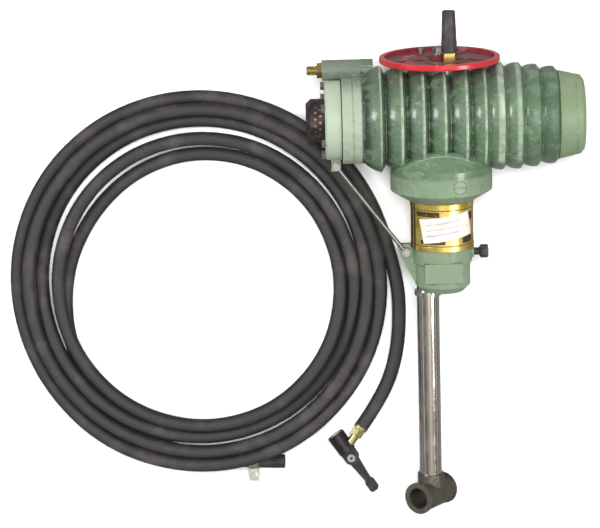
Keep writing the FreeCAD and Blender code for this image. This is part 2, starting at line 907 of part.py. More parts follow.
def handwheel():
    """Dished wheel with a rim, hub, offset boss and low ribs."""
    rim_top = wheel_bottom + rim_height
    rim = tube_y(wheel_radius, wheel_radius - rim_width, wheel_bottom, rim_top)
    rim = rim.makeFillet(rim_round, [edge for edge in rim.Edges if is_circle(edge, wheel_radius)])
    web = cylinder_y(wheel_radius - 1, wheel_bottom, wheel_bottom + web_height)
    hub = cylinder_y(hub_radius, wheel_bottom, wheel_top_of_hub())
    boss = tube_y(
        wheel_boss_radius, wheel_boss_radius - wheel_boss_wall,
        wheel_bottom, wheel_bottom + wheel_boss_height, wheel_boss_x, wheel_boss_z,
    )
    parts = [rim, web, hub, boss, cylinder_y(6.5, wheel_bottom, grip_seat(), grip_x, grip_z)]
    for i in range(rib_count):
        inner = hub_radius - 1
        outer = wheel_radius - rim_width + 1
        rib = block(inner, outer, wheel_bottom, wheel_bottom + web_height + 1.0, -rib_width / 2, rib_width / 2)
        parts.append(spun(rib, AXIS_Y, 360 * (i + 0.5) / rib_count + 90))
    cuts = [
        cylinder_y(shaft_radius + seat_gap, wheel_bottom, rim_top + hub_height),
        cylinder_y(grip_pin_radius + seat_gap, wheel_bottom, rim_top + hub_height, grip_x, grip_z),
        cylinder_y(stud_radius / 2, wheel_bottom, rim_top, stud_x, stud_z),
        key_block(seat_gap),
    ]
    return fused(parts).cut(cutters(cuts))


def hub_washer():
    """Washer under the hub nut."""
    top = wheel_top_of_hub()
    return tube_y(washer_radius, shaft_radius + seat_gap, top, top + washer_thickness)


def hub_nut():
    """Hexagon nut on the crankshaft."""
    nut = hexagon_prism(hub_nut_flats, hub_nut_height)
    nut = nut.cut(Part.makeCylinder(shaft_radius + seat_gap, hub_nut_height, Vector(0, 0, 0), AXIS_Z))
    return aimed(nut, Vector(0, wheel_top_of_hub() + washer_thickness, 0), AXIS_Y)


def wheel_stud():
    """Bright round-head stud by the rim."""
    base = wheel_bottom + web_height
    head = cylinder_y(stud_radius, base, base + stud_height, stud_x, stud_z)
    top_edges = [edge for edge in head.Edges if edge.BoundBox.YMin > base + stud_height - 0.1]
    head = head.makeFillet(stud_round, top_edges)
    return fused([head, cylinder_y(stud_radius / 2, wheel_bottom, base, stud_x, stud_z)])


def grip_seat():
    """Y of the face that the handle's collar stands on."""
    return wheel_bottom + wheel_boss_height


def grip_collar():
    """Square brass collar under the handle."""
    half = grip_collar_side / 2
    seat = grip_seat()
    collar = block(grip_x - half, grip_x + half, seat, seat + grip_collar_height, grip_z - half, grip_z + half)
    collar = collar.makeChamfer(0.8, [edge for edge in collar.Edges if edge.BoundBox.YLength > 5])
    return collar.cut(cylinder_y(grip_pin_radius + seat_gap, seat, seat + grip_collar_height, grip_x, grip_z))


def grip_base():
    """Y of the lower end of the turning handle."""
    return grip_seat() + grip_collar_height + free_gap


def grip_screw():
    """Shouldered screw that the handle turns on."""
    base = grip_base()
    top = base + grip_length - grip_head_height
    stem = cylinder_y(grip_pin_radius, wheel_bottom, top, grip_x, grip_z)
    head = cylinder_y(grip_head_radius, top, top + grip_head_height - 0.4, grip_x, grip_z)
    slot = block(
        grip_x - grip_head_radius, grip_x + grip_head_radius,
        top + 0.5, top + grip_head_height,
        grip_z - 0.6, grip_z + 0.6,
    )
    return fused([stem, head]).cut(slot)


def grip():
    """Tapered handle with a wider ferrule, free to turn."""
    base = grip_base()
    top = base + grip_length
    ferrule = 11.0
    outline = turned_y([
        (0, base),
        (grip_base_radius, base),
        (grip_base_radius, base + ferrule),
        (grip_base_radius - 0.4, base + ferrule + 0.5),
        (grip_top_radius, top - 1.0),
        (grip_top_radius - 1.0, top),
        (0, top),
    ])
    outline.translate(Vector(grip_x, 0, grip_z))
    bore = cylinder_y(grip_pin_radius + running_gap, base, top, grip_x, grip_z)
    recess = cylinder_y(grip_head_radius + running_gap, top - grip_head_height - free_gap, top, grip_x, grip_z)
    return outline.cut(fused([bore, recess]))


# ---------------------------------------------------------------- sleeve and label
def base_sleeve():
    """Brass sleeve that closes the crankcase and stands in the foot collar."""
    band = sleeve_radius + sleeve_band_height
    outline = turned_y([
        (0, neck_bottom + sleeve_top_spigot),
        (cavity_radius - seat_gap, neck_bottom + sleeve_top_spigot),
        (cavity_radius - seat_gap, neck_bottom),
        (band, neck_bottom),
        (band, neck_bottom - sleeve_band),
        (sleeve_radius, neck_bottom - sleeve_band),
        (sleeve_radius, sleeve_bottom + sleeve_band),
        (band, sleeve_bottom + sleeve_band),
        (band, sleeve_bottom),
        (foot_spigot_radius, sleeve_bottom),
        (foot_spigot_radius, sleeve_bottom - foot_spigot_length),
        (0, sleeve_bottom - foot_spigot_length),
    ])
    return outline.cut(cylinder_y(sleeve_bore, sleeve_bottom + sleeve_floor, neck_bottom + sleeve_top_spigot))


def sleeve_label():
    """Thin plate bent round the front of the sleeve, set at a slant."""
    middle = (neck_bottom + sleeve_bottom) / 2
    reach = sleeve_radius + 2
    shell = tube_y(
        sleeve_radius + seat_gap + label_thickness, sleeve_radius + seat_gap,
        sleeve_bottom + sleeve_band, neck_bottom - sleeve_band,
    )
    window = block(-label_width / 2, label_width / 2, -label_height / 2, label_height / 2, 0, reach)
    window.rotate(Vector(0, 0, 0), AXIS_Z, label_tilt)
    window.translate(Vector(0, middle, 0))
    window.rotate(Vector(0, 0, 0), AXIS_Y, label_turn)
    return shell.common(window)


# ---------------------------------------------------------------- foot collar, leg and eye
def collar_lug():
    """Tapering lug on the left of the foot collar."""
    top = sleeve_bottom + 3.0
    corners = [
        Vector(-foot_spigot_radius - 1, top - 3, 0),
        Vector(-foot_spigot_radius - 3, top, 0),
        Vector(-lug_reach, top, 0),
        Vector(-lug_reach + 0.5, top - 6, 0),
        Vector(-lug_foot_reach, top - lug_height, 0),
        Vector(-foot_spigot_radius + 1, top - lug_height, 0),
    ]
    corners.append(corners[0])
    lug = Part.Face(Part.makePolygon(corners)).extrude(Vector(0, 0, lug_thickness))
    lug.translate(Vector(0, 0, -lug_thickness / 2))
    keep_out = cylinder_y(sleeve_radius + sleeve_band_height + free_gap, sleeve_bottom, top + 1)
    return lug.cut(keep_out)


def foot_collar():
    """Clamp between the brass sleeve and the leg, with a lug, pad and screw boss."""
    ring_bottom = sleeve_bottom - collar_ring
    body = turned_y([
        (0, sleeve_bottom),
        (collar_radius, sleeve_bottom),
        (collar_radius, ring_bottom),
        (collar_lower_radius, ring_bottom - 2),
        (collar_lower_radius, collar_bottom + collar_chamfer),
        (collar_lower_radius - collar_chamfer, collar_bottom),
        (0, collar_bottom),
    ])
    pad_top = ring_bottom + 3
    pad = block(-collar_pad_width / 2, collar_pad_width / 2, pad_top - collar_pad_height, pad_top, 0, collar_pad_reach)
    screw_y = sleeve_bottom - thumb_screw_height
    screw_boss = cylinder_x(thumb_boss_radius, 0, thumb_boss_reach, screw_y)
    collar = fused([body, pad, screw_boss, collar_lug()])
    bolt_x, bolt_y, face = stay_bottom()
    cuts = [
        cylinder_y(foot_spigot_radius + seat_gap, sleeve_bottom - foot_spigot_length - 0.1, sleeve_bottom),
        cylinder_y(leg_radius + seat_gap, collar_bottom, collar_bottom + leg_socket, leg_offset),
        cylinder_x(thumb_screw_radius + running_gap, 0, thumb_boss_reach, screw_y),
        cylinder_z(stay_bolt_radius + seat_gap, face - stay_bolt_depth, face, bolt_x, bolt_y),
    ]
    return collar.cut(cutters(cuts))


def thumb_screw():
    """Thumb screw that locks the sleeve in the collar."""
    tip = foot_spigot_radius + 0.2
    head_start = thumb_neck_reach
    outline = turned_x([
        (tip, 0),
        (tip, thumb_screw_radius - 1),
        (tip + 1, thumb_screw_radius),
        (head_start, thumb_screw_radius),
        (head_start + 2, thumb_head_radius),
        (thumb_head_reach - 1, thumb_head_radius),
        (thumb_head_reach, thumb_head_radius - 1),
        (thumb_head_reach, 0),
    ])
    flutes = []
    for i in range(thumb_flutes):
        turn = 2 * math.pi * i / thumb_flutes
        y, z = (thumb_head_radius + 0.6) * math.sin(turn), (thumb_head_radius + 0.6) * math.cos(turn)
        flutes.append(cylinder_x(1.4, head_start, thumb_head_reach, y, z))
    screw = outline.cut(cutters(flutes))
    screw.translate(Vector(0, sleeve_bottom - thumb_screw_height, 0))
    return screw


def leg_tube():
    """Chromed tube from the foot collar to the eye."""
    bottom = eye_centre + eye_stub_top - eye_socket
    return tube_y(leg_radius, leg_radius - leg_wall, bottom, collar_bottom + leg_socket, leg_offset)


def leg_ring():
    """Loose ring on the leg under the collar."""
    return tube_y(leg_radius + leg_ring_flange, leg_radius + seat_gap, collar_bottom - leg_ring_height, collar_bottom, leg_offset)


def eye_axis():
    """Direction of the eye's bore."""
    turn = math.radians(eye_turn)
    return Vector(-math.sin(turn), 0, math.cos(turn))


def foot_eye():
    """Cross tube at the end of the leg, with a stub that the leg enters."""
    axis = eye_axis()
    centre = Vector(leg_offset, eye_centre, 0)
    start = centre - axis * (eye_length / 2)
    barrel = Part.makeCylinder(eye_radius, eye_length, start, axis)
    lips = [
        Part.makeCylinder(eye_radius + eye_lip, 3.0, start, axis),
        Part.makeCylinder(eye_radius + eye_lip, 3.0, start + axis * (eye_length - 3.0), axis),
    ]
    stub = cylinder_y(eye_stub_radius, eye_centre, eye_centre + eye_stub_top, leg_offset)
    eye = fused([barrel, stub] + lips)
    bore = Part.makeCylinder(eye_bore, eye_length, start, axis)
    socket = cylinder_y(
        leg_radius + seat_gap,
        eye_centre + eye_stub_top - eye_socket, eye_centre + eye_stub_top, leg_offset,
    )
    return eye.cut(cutters([bore, socket]))


# ---------------------------------------------------------------- stay rod
def stay_top():
    """Bolt position on the cylinder head's lug, and the lug's face."""
    return stay_lug_left + stay_lug_width / 2, stay_lug_bottom + 6.0, stay_lug_front


def stay_bottom():
    """Bolt position on the collar's lug, and the lug's face."""
    return -lug_reach + stay_foot_inset, sleeve_bottom - 5.0, lug_thickness / 2


def stay_rod():
    """Bright rod between the cylinder head and the foot collar, with a flat pad at each end."""
    ends = [stay_top(), stay_bottom()]
    middles = [Vector(x, y, face + stay_pad_thickness / 2) for x, y, face in ends]
    span = middles[1] - middles[0]
    rod = Part.makeCylinder(stay_radius, span.Length, middles[0], span)
    pads = [cylinder_z(stay_pad_radius, face, face + stay_pad_thickness, x, y) for x, y, face in ends]
    rod = rod.cut(block(-200, 0, -200, 0, -60, ends[0][2])).cut(block(-60, 0, ends[1][1] - 20, 0, -60, ends[1][2]))
    holes = [
        cylinder_z(stay_bolt_radius + seat_gap, face - 1, face + stay_pad_thickness + 5, x, y)
        for x, y, face in ends
    ]
    return fused([rod] + pads).cut(cutters(holes))


def stay_bolts():
    """Hexagon screws through the stay's pads."""
    bolts = []
    for x, y, face in (stay_top(), stay_bottom()):
        shank_length = stay_bolt_depth + stay_pad_thickness
        shank = Part.makeCylinder(stay_bolt_radius, shank_length, Vector(0, 0, -shank_length), AXIS_Z)
        bolt = fused([hexagon_prism(small_flats, small_head), shank])
        bolt.translate(Vector(x, y, face + stay_pad_thickness))
        bolts.append(bolt)
    return Part.makeCompound(bolts)


# ---------------------------------------------------------------- hose
def route_wire(points, name):
    """Straight runs joined by tangent arcs; prints the arc radii and the length."""
    corners = [Vector(*point) for point in points]
    edges = []
    radii = []
    last = corners[0]
    for before, corner, after in zip(corners, corners[1:], corners[2:]):
        inward, outward = (corner - before), (after - corner)
        shorter = min(inward.Length, outward.Length)
        half_turn = inward.getAngle(outward) / 2
        reach = 0.45 * shorter
        radii.append(reach / math.tan(half_turn))
        inward.normalize()
        outward.normalize()
        start = corner - inward * reach
        end = corner + outward * reach
        bisector = outward - inward
        bisector.normalize()
        depth = radii[-1] * (1 / math.cos(half_turn) - 1)
        middle = corner + bisector * depth
        edges.append(Part.LineSegment(last, start).toShape())
        edges.append(Part.Arc(start, middle, end).toShape())
        last = end
    edges.append(Part.LineSegment(last, corners[-1]).toShape())
    wire = Part.Wire(edges)
    print(name, "length", round(wire.Length, 1), "arc radii", [round(r) for r in radii])
    return wire


def hose_tube(points, name):
    """Round tube swept along a route."""
    wire = route_wire(points, name)
    heading = Vector(*points[1]) - Vector(*points[0])
    section = Part.Wire(Part.makeCircle(hose_radius, Vector(*points[0]), heading))
    tube = wire.makePipeShell([section], True, True)
    expected = math.pi * hose_radius ** 2 * wire.Length
    print(name, "volume over section times length", round(tube.Volume / expected, 4))
    return tube


def hose_coil():
    """Outer shape of the coiled hose: a low oval ring."""
    centre = Vector(coil_x, coil_y, 0)
    faces = []
    for inset in (0.0, coil_band):
        oval = Part.Ellipse(centre, coil_half_width - inset, coil_half_height - inset)
        faces.append(Part.Face(Part.Wire(oval.toShape())))
    ring = faces[0].cut(faces[1]).extrude(Vector(0, 0, coil_thickness))
    rims = [edge for edge in ring.Edges if edge.BoundBox.ZLength < 0.1]
    return ring.makeFillet(coil_edge, rims)


def hose_lead():
    """Hose from the coil to the chuck."""
    return hose_tube(lead_route, "hose_lead")


def hose_tail():
    """Hose from the coil to the open end."""
    return hose_tube(tail_route, "hose_tail")


def tail_axis():
    """A point on the hose under the clamp, and the hose's direction there."""
    end = Vector(*tail_route[-1])
    heading = end - Vector(*tail_route[-2])
    heading.normalize()
    return end - heading * clamp_from_end, heading


def clamp_frame():
    """Placement whose X follows the hose and whose Y points away from the coil."""
    centre, heading = tail_axis()
    return Placement(centre, Rotation(AXIS_X, heading))


def hose_clamp():
    """Bent strip round the hose, with two ears."""
    inner = hose_radius + seat_gap
    outer = inner + clamp_thickness
    half = clamp_width / 2
    band = tube_x(outer, inner, -half, half)
    ears = []
    for side in (-1, 1):
        near = side * clamp_slit / 2
        far = near + side * clamp_lug_thickness
        x0, x1 = sorted((near, far))
        ears.append(block(-half, half, -outer - clamp_lug_reach, -inner - 0.2, x0, x1))
    slit = block(-half, half, -outer - 1, -inner + 1, -clamp_slit / 2, clamp_slit / 2)
    hole = cylinder_z(clamp_bolt_radius + seat_gap, -hose_radius, hose_radius, 0, clamp_bolt_y())
    clamp = fused([band] + ears).cut(cylinder_x(inner, -half, half)).cut(slit).cut(hole)
    clamp.Placement = clamp_frame()
    return clamp


def clamp_bolt_y():
    """Bolt position below the band, in the clamp's frame."""
    return -hose_radius - clamp_thickness - clamp_lug_reach * 0.6


def clamp_bolt():
    """Bolt and nut across the clamp's ears."""
    outside = clamp_slit / 2 + clamp_lug_thickness
    shank = cylinder_z(clamp_bolt_radius, -outside - small_nut, outside)
    head = aimed(hexagon_prism(small_flats, small_head), Vector(0, 0, outside), AXIS_Z)
    nut = aimed(hexagon_prism(small_flats, small_nut), Vector(0, 0, -outside), AXIS_Z * -1)
    bolt = fused([shank, head, nut])
    bolt.translate(Vector(0, clamp_bolt_y(), 0))
    bolt.Placement = clamp_frame().multiply(bolt.Placement)
    return bolt


def barb_axis():
    """End of the leading hose and its direction."""
    end = Vector(*lead_route[-1])
    heading = end - Vector(*lead_route[-2])
    heading.normalize()
    return end, heading


def hose_barb():
    """Brass union between the hose and the chuck."""
    end, heading = barb_axis()
    ferrule = Part.makeCylinder(barb_ferrule_radius, barb_ferrule_length, Vector(0, 0, 0), AXIS_Z)
    hexagon = aimed(hexagon_prism(barb_flats, barb_hex_length), Vector(0, 0, barb_ferrule_length), AXIS_Z)
    shank_start = Vector(0, 0, barb_ferrule_length + barb_hex_length)
    shank = Part.makeCylinder(barb_shank_radius, barb_shank_length, shank_start, AXIS_Z)
    return aimed(fused([ferrule, hexagon, shank]), end, heading)


def barb_hole():
    """Hole in the chuck for the union's shank."""
    end, heading = barb_axis()
    start = end + heading * (barb_ferrule_length + barb_hex_length)
    return Part.makeCylinder(barb_shank_radius + seat_gap, barb_shank_length, start, heading)


# ---------------------------------------------------------------- tyre chuck
def chuck_frame():
    """Placement at the chuck's mouth, X towards the lever's tip, Z up."""
    return Placement(Vector(*chuck_mouth), Rotation(AXIS_Z, chuck_heading))


def chuck_placed(shape):
    """A shape from the chuck's own frame, where it lies."""
    placed = shape.copy()
    placed.Placement = chuck_frame().multiply(placed.Placement)
    return placed


def chuck_body():
    """Barrel with a mouth, and two cheeks for the lever."""
    barrel = turned_x([
        (0, 0),
        (0, chuck_radius - 0.8),
        (0.8, chuck_radius),
        (chuck_barrel, chuck_radius),
        (chuck_barrel, 0),
    ])
    parts = [barrel]
    inner = lever_thickness / 2 + free_gap
    for side in (-1, 1):
        z0, z1 = sorted((side * inner, side * (inner + cheek_thickness)))
        parts.append(cylinder_z(cheek_radius, z0, z1, pivot_along))
        parts.append(block(chuck_barrel - 4, pivot_along, -cheek_radius, cheek_radius, z0, z1))
    body = fused(parts)
    cuts = [
        cylinder_x(chuck_bore, 0, chuck_bore_depth),
        cylinder_x(chuck_seal_radius + seat_gap, 0, chuck_seal_depth),
        cylinder_z(lever_hub_radius + free_gap, -inner, inner, pivot_along),
        cylinder_z(rivet_radius + seat_gap, -chuck_radius, chuck_radius, pivot_along),
    ]
    return chuck_placed(body.cut(cutters(cuts))).cut(barb_hole())


def chuck_seal():
    """Rubber washer in the chuck's mouth."""
    return chuck_placed(tube_x(chuck_seal_radius, chuck_bore, 0.4, chuck_seal_depth))


def chuck_rivet():
    """Tubular rivet that the lever turns on."""
    reach = lever_thickness / 2 + free_gap + cheek_thickness
    rivet = fused([
        cylinder_z(rivet_radius, -reach - rivet_head, reach + rivet_head, pivot_along),
        cylinder_z(rivet_head_radius, reach, reach + rivet_head, pivot_along),
        cylinder_z(rivet_head_radius, -reach - rivet_head, -reach, pivot_along),
    ])
    return chuck_placed(rivet.cut(cylinder_z(rivet_bore, -chuck_radius, chuck_radius, pivot_along)))


def chuck_lever():
    """Lever with a round hub, a narrow neck and a flared tip."""
    half = lever_thickness / 2
    tip = pivot_along + lever_length
    corners = [
        Vector(pivot_along, lever_hub_radius - 0.8, -half),
        Vector(pivot_along + 14, lever_neck / 2 + 1.4, -half),
        Vector(tip - lever_tip_length - 3, lever_neck / 2, -half),
        Vector(tip - lever_tip_length, lever_tip / 2, -half),
        Vector(tip - 2, lever_tip / 2, -half),
        Vector(tip, lever_tip / 2 - 2, -half),
    ]
    mirrored = [Vector(corner.x, -corner.y, corner.z) for corner in reversed(corners)]
    arm = Part.Face(Part.makePolygon(corners + mirrored + corners[:1])).extrude(Vector(0, 0, lever_thickness))
    hub = cylinder_z(lever_hub_radius, -half, half, pivot_along)
    hole = cylinder_z(rivet_radius + running_gap, -half, half, pivot_along)
    return chuck_placed(fused([arm, hub]).cut(hole))


# ---------------------------------------------------------------- assembly
def pump_pieces():
    """Every piece of the pump, in the pump's own frame."""
    left, right = piston_centres()
    half = piston_thickness / 2
    return {
        "crankcase": crankcase(),
        "liner_left": liner_left(),
        "liner_right": liner_right(),
        "rod_bush_left": rod_bush(-1),
        "rod_bush_right": rod_bush(1),
        "neck_plug": neck_plug(),
        "head_gasket": head_gasket(),
        "cylinder_head": cylinder_head(),
        "head_bolts": head_bolts(),
        "inlet_valve": inlet_valve(),
        "inlet_keeper": inlet_keeper(),
        "inlet_spring": inlet_spring(),
        "filter_cap": filter_cap(),
        "filter_foam": filter_foam(),
        "outlet_ball": outlet_ball(),
        "outlet_spring": outlet_spring(),
        "outlet_nipple": outlet_nipple(),
        "end_cap": end_cap(),
        "lower_shaft_bush": shaft_bush(True),
        "upper_shaft_bush": shaft_bush(False),
        "shaft_seal": shaft_seal(),
        "guide_plate": guide_plate(),
        "guide_screws": guide_screws(),
        "crankshaft": crankshaft(),
        "trammel_link": trammel_link(),
        "rod_clip": rod_clip(),
        "piston_rod": piston_rod(),
        "piston_left": piston(left),
        "piston_right": piston(right),
        "piston_ring_left": piston_ring(left),
        "piston_ring_right": piston_ring(right),
        "piston_nut_left": piston_nut(left - half, -1),
        "piston_nut_right": piston_nut(right + half, 1),
        "handwheel": handwheel(),
        "wheel_key": wheel_key(),
        "hub_washer": hub_washer(),
        "hub_nut": hub_nut(),
        "wheel_stud": wheel_stud(),
        "grip_collar": grip_collar(),
        "grip_screw": grip_screw(),
        "grip": grip(),
        "base_sleeve": base_sleeve(),
        "sleeve_label": sleeve_label(),
        "foot_collar": foot_collar(),
        "thumb_screw": thumb_screw(),
        "leg_tube": leg_tube(),
        "leg_ring": leg_ring(),
        "foot_eye": foot_eye(),
        "stay_rod": stay_rod(),
        "stay_bolts": stay_bolts(),
    }


def hose_pieces():
    """Every piece of the hose, where it lies."""
    return {
        "hose_coil": hose_coil(),
        "hose_lead": hose_lead(),
        "hose_tail": hose_tail(),
        "hose_clamp": hose_clamp(),
        "clamp_bolt": clamp_bolt(),
        "hose_barb": hose_barb(),
        "chuck_body": chuck_body(),
        "chuck_seal": chuck_seal(),
        "chuck_rivet": chuck_rivet(),
        "chuck_lever": chuck_lever(),
    }


def lay_down(pieces):
    """Placement that rests the pump on the floor with the origin under its middle."""
    turn = Rotation(AXIS_X, rest_pitch).multiply(Rotation(AXIS_Y, rest_roll))
    tilted = []
    for piece in pieces.values():
        copy = piece.copy()
        copy.Placement = Placement(Vector(0, 0, 0), turn).multiply(copy.Placement)
        tilted.append(copy)
    box = Part.makeCompound(tilted).optimalBoundingBox(False, False)
    shift = Vector(-(box.XMin + box.XMax) / 2, -(box.YMin + box.YMax) / 2, -box.ZMin)
    return Placement(shift, turn)


def build():
    """All nodes in the floor's frame, with the pump's placement."""
    pump = pump_pieces()
    rest = lay_down(pump)
    for piece in pump.values():
        piece.Placement = rest.multiply(piece.Placement)
    nodes = dict(pump)
    nodes.update(hose_pieces())
    return nodes, rest


def main():
    """Write one file per node."""
    os.makedirs("parts", exist_ok=True)
    nodes, rest = build()
    print("pump origin at", rest.Base, "turned", rest.Rotation.toEuler())
    for name, shape in nodes.items():
        shape.exportStep("parts/" + name + ".step")
        print(name, "valid", shape.isValid(), "solids", len(shape.Solids), "mm3", round(shape.Volume))


if __name__ == "__main__":
    main()
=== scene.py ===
import json
import logging
import math
from dataclasses import dataclass, field
from enum import Enum
from typing import Any, ClassVar, Dict, Iterable, List, Optional, Sequence, Tuple, Union

import bmesh
import bpy
from mathutils import Matrix, Vector

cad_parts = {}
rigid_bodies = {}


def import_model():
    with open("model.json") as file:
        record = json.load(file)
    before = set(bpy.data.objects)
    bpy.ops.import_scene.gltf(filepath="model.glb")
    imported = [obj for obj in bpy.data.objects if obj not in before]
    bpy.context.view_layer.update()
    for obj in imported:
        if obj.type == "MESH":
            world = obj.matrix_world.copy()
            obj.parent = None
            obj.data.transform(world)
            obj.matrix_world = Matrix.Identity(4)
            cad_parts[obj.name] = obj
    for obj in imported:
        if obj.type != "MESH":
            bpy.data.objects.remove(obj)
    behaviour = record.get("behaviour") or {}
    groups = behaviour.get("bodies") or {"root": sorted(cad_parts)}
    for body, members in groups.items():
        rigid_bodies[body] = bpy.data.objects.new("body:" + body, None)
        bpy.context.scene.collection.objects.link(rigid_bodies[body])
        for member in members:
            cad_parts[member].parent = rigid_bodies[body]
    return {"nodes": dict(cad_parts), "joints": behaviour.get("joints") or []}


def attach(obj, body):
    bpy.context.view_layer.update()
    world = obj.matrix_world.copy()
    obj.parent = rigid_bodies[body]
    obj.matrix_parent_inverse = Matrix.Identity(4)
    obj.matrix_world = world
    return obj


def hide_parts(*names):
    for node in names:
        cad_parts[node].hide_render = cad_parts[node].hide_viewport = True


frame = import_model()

# Looks of a hand-cranked twin-cylinder air pump that lies on the floor with its
# hose coiled beside it. Metres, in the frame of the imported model.

LOG = logging.getLogger("air_pump")
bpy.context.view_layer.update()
MM = 0.001

Colour = Tuple[float, float, float, float]
Number = Union["Field", float]
Tint = Union["Field", Colour]


def shade(red: int, green: int, blue: int) -> Colour:
    """Turn a display colour into the linear colour that shaders use.

    Args:
        red: Red from 0 to 255.
        green: Green from 0 to 255.
        blue: Blue from 0 to 255.

    Returns:
        The linear colour with an alpha of 1.
    """
    def linear(value: int) -> float:
        """Linear value of one display channel."""
        part = value / 255
        return part / 12.92 if part <= 0.04045 else ((part + 0.055) / 1.055) ** 2.4

    return (linear(red), linear(green), linear(blue), 1.0)


# ------------------------------------------------------------------ shader maths
class Field:
    """A value that varies over a surface, held as the shader socket that gives it."""

    def __init__(self, graph: "Graph", socket: bpy.types.NodeSocket) -> None:
        """Wrap a socket.

        Args:
            graph: The graph that the socket is in.
            socket: The output socket.
        """
        self.graph = graph
        self.socket = socket

    def __add__(self, other: Number) -> "Field":
        """Sum of two values."""
        return self.graph.maths("ADD", self, other)

    __radd__ = __add__

    def __sub__(self, other: Number) -> "Field":
        """This value less another."""
        return self.graph.maths("SUBTRACT", self, other)

    def __rsub__(self, other: Number) -> "Field":
        """Another value less this one."""
        return self.graph.maths("SUBTRACT", other, self)

    def __mul__(self, other: Number) -> "Field":
        """Product of two values."""
        return self.graph.maths("MULTIPLY", self, other)

    __rmul__ = __mul__


class Graph:
    """The node tree of a material or a world, with short ways to add its nodes."""

    def __init__(self, owner: Union[bpy.types.Material, bpy.types.World]) -> None:
        """Start an empty node tree.

        Args:
            owner: The new material or world that the tree belongs to.
        """
        self.owner = owner
        self.owner.use_nodes = True
        self.tree = self.owner.node_tree
        self.tree.nodes.clear()

    def node(
        self,
        kind: str,
        settings: Optional[Dict[str, Any]] = None,
        values: Optional[Dict[Any, Any]] = None,
    ) -> bpy.types.Node:
        """Add a node, give it its settings first and then its sockets' values or links.

        Args:
            kind: The node's type.
            settings: Its settings by name; "stops" are a colour ramp's stops.
            values: A value or a Field for each input socket, by name or number.

        Returns:
            The new node.
        """
        made = self.tree.nodes.new(kind)
        for key, value in (settings or {}).items():
            if key == "stops":
                ramp = made.color_ramp
                while len(ramp.elements) < len(value):
                    ramp.elements.new(0.5)
                for element, (place, tint) in zip(ramp.elements, value):
                    element.position = place
                    element.color = tint
            else:
                setattr(made, key, value)
        for key, value in (values or {}).items():
            if isinstance(value, Field):
                self.tree.links.new(value.socket, made.inputs[key])
            else:
                made.inputs[key].default_value = value
        return made

    def out(self, made: bpy.types.Node, output: Any = 0) -> Field:
        """Field of one of a node's outputs."""
        return Field(self, made.outputs[output])

    def maths(self, operation: str, *parts: Number) -> Field:
        """Add a Math node.

        Args:
            operation: The node's operation.
            parts: Its inputs in order.

        Returns:
            The result.
        """
        values = {number: part for number, part in enumerate(parts)}
        return self.out(self.node("ShaderNodeMath", {"operation": operation}, values))

    def place(self) -> Field:
        """Point of the surface in the frame at rest, which moves with its piece."""
        return self.out(self.node("ShaderNodeTexCoord"), "Object")

    def along(self, vector: Field, axis: Sequence[float]) -> Field:
        """How far a vector runs along an axis.

        Args:
            vector: The vector.
            axis: A unit vector.

        Returns:
            The length along the axis.
        """
        settings = {"operation": "DOT_PRODUCT"}
        made = self.node("ShaderNodeVectorMath", settings, {0: vector, 1: tuple(axis)})
        return self.out(made, "Value")

    def shift(self, vector: Field, origin: Sequence[float]) -> Field:
        """Vector from an origin to a point.

        Args:
            vector: The point.
            origin: The origin.

        Returns:
            The difference.
        """
        settings = {"operation": "SUBTRACT"}
        return self.out(self.node("ShaderNodeVectorMath", settings, {0: vector, 1: tuple(origin)}))

    def join(self, x: Number, y: Number, z: Number) -> Field:
        """Vector made of three values."""
        return self.out(self.node("ShaderNodeCombineXYZ", None, {"X": x, "Y": y, "Z": z}))

    def step(self, value: Field, low: float, high: float) -> Field:
        """Smooth step from 0 at one value to 1 at another.

        Args:
            value: The value tested.
            low: Where the result is 0.
            high: Where the result is 1; it may be below low.

        Returns:
            The mask.
        """
        turned = low > high
        ends = (high, low) if turned else (low, high)
        made = self.node(
            "ShaderNodeMapRange",
            {"interpolation_type": "SMOOTHSTEP"},
            {"Value": value, "From Min": ends[0], "From Max": ends[1]},
        )
        mask = self.out(made)
        return 1.0 - mask if turned else mask

    def band(self, value: Field, low: float, high: float, soft: float) -> Field:
        """Mask that is 1 between two values and fades over a soft edge."""
        return self.step(value, low - soft, low + soft) * self.step(value, high + soft, high - soft)

    def mix(self, first: Tint, second: Tint, part: Number) -> Field:
        """Blend two colours.

        Args:
            first: Colour where part is 0.
            second: Colour where part is 1.
            part: The mask.

        Returns:
            The blended colour.
        """
        made = self.node("ShaderNodeMix", {"data_type": "RGBA"}, {0: part, 6: first, 7: second})
        return self.out(made, 2)

    def noise(
        self, scale: float, detail: float = 3.0, rough: float = 0.55, at: Optional[Field] = None
    ) -> Field:
        """Cloudy noise.

        Args:
            scale: Lumps per metre.
            detail: How many finer layers it has.
            rough: How strong the finer layers are.
            at: Where it is read; the surface's own place if left out.

        Returns:
            The noise, about 0.3 to 0.7.
        """
        values = {
            "Vector": at or self.place(),
            "Scale": scale,
            "Detail": detail,
            "Roughness": rough,
        }
        return self.out(self.node("ShaderNodeTexNoise", None, values))

    def cells(self, scale: float, at: Optional[Field] = None) -> Field:
        """Distance to the nearest of scattered points, which gives a pebbled skin."""
        values = {"Vector": at or self.place(), "Scale": scale}
        return self.out(self.node("ShaderNodeTexVoronoi", None, values))

    def rounded(self, radius: float) -> Field:
        """Normal with the sharp edges rounded off."""
        return self.out(self.node("ShaderNodeBevel", {"samples": 4}, {"Radius": radius}))

    def edges(self, normal: Field) -> Field:
        """Mask of the edges that a rounded normal shows.

        Args:
            normal: The rounded normal.

        Returns:
            0 on open faces and towards 1 along edges.
        """
        face = self.out(self.node("ShaderNodeNewGeometry"), "Normal")
        settings = {"operation": "DOT_PRODUCT"}
        made = self.node("ShaderNodeVectorMath", settings, {0: normal, 1: face})
        return self.step(self.out(made, "Value"), 0.985, 0.86)

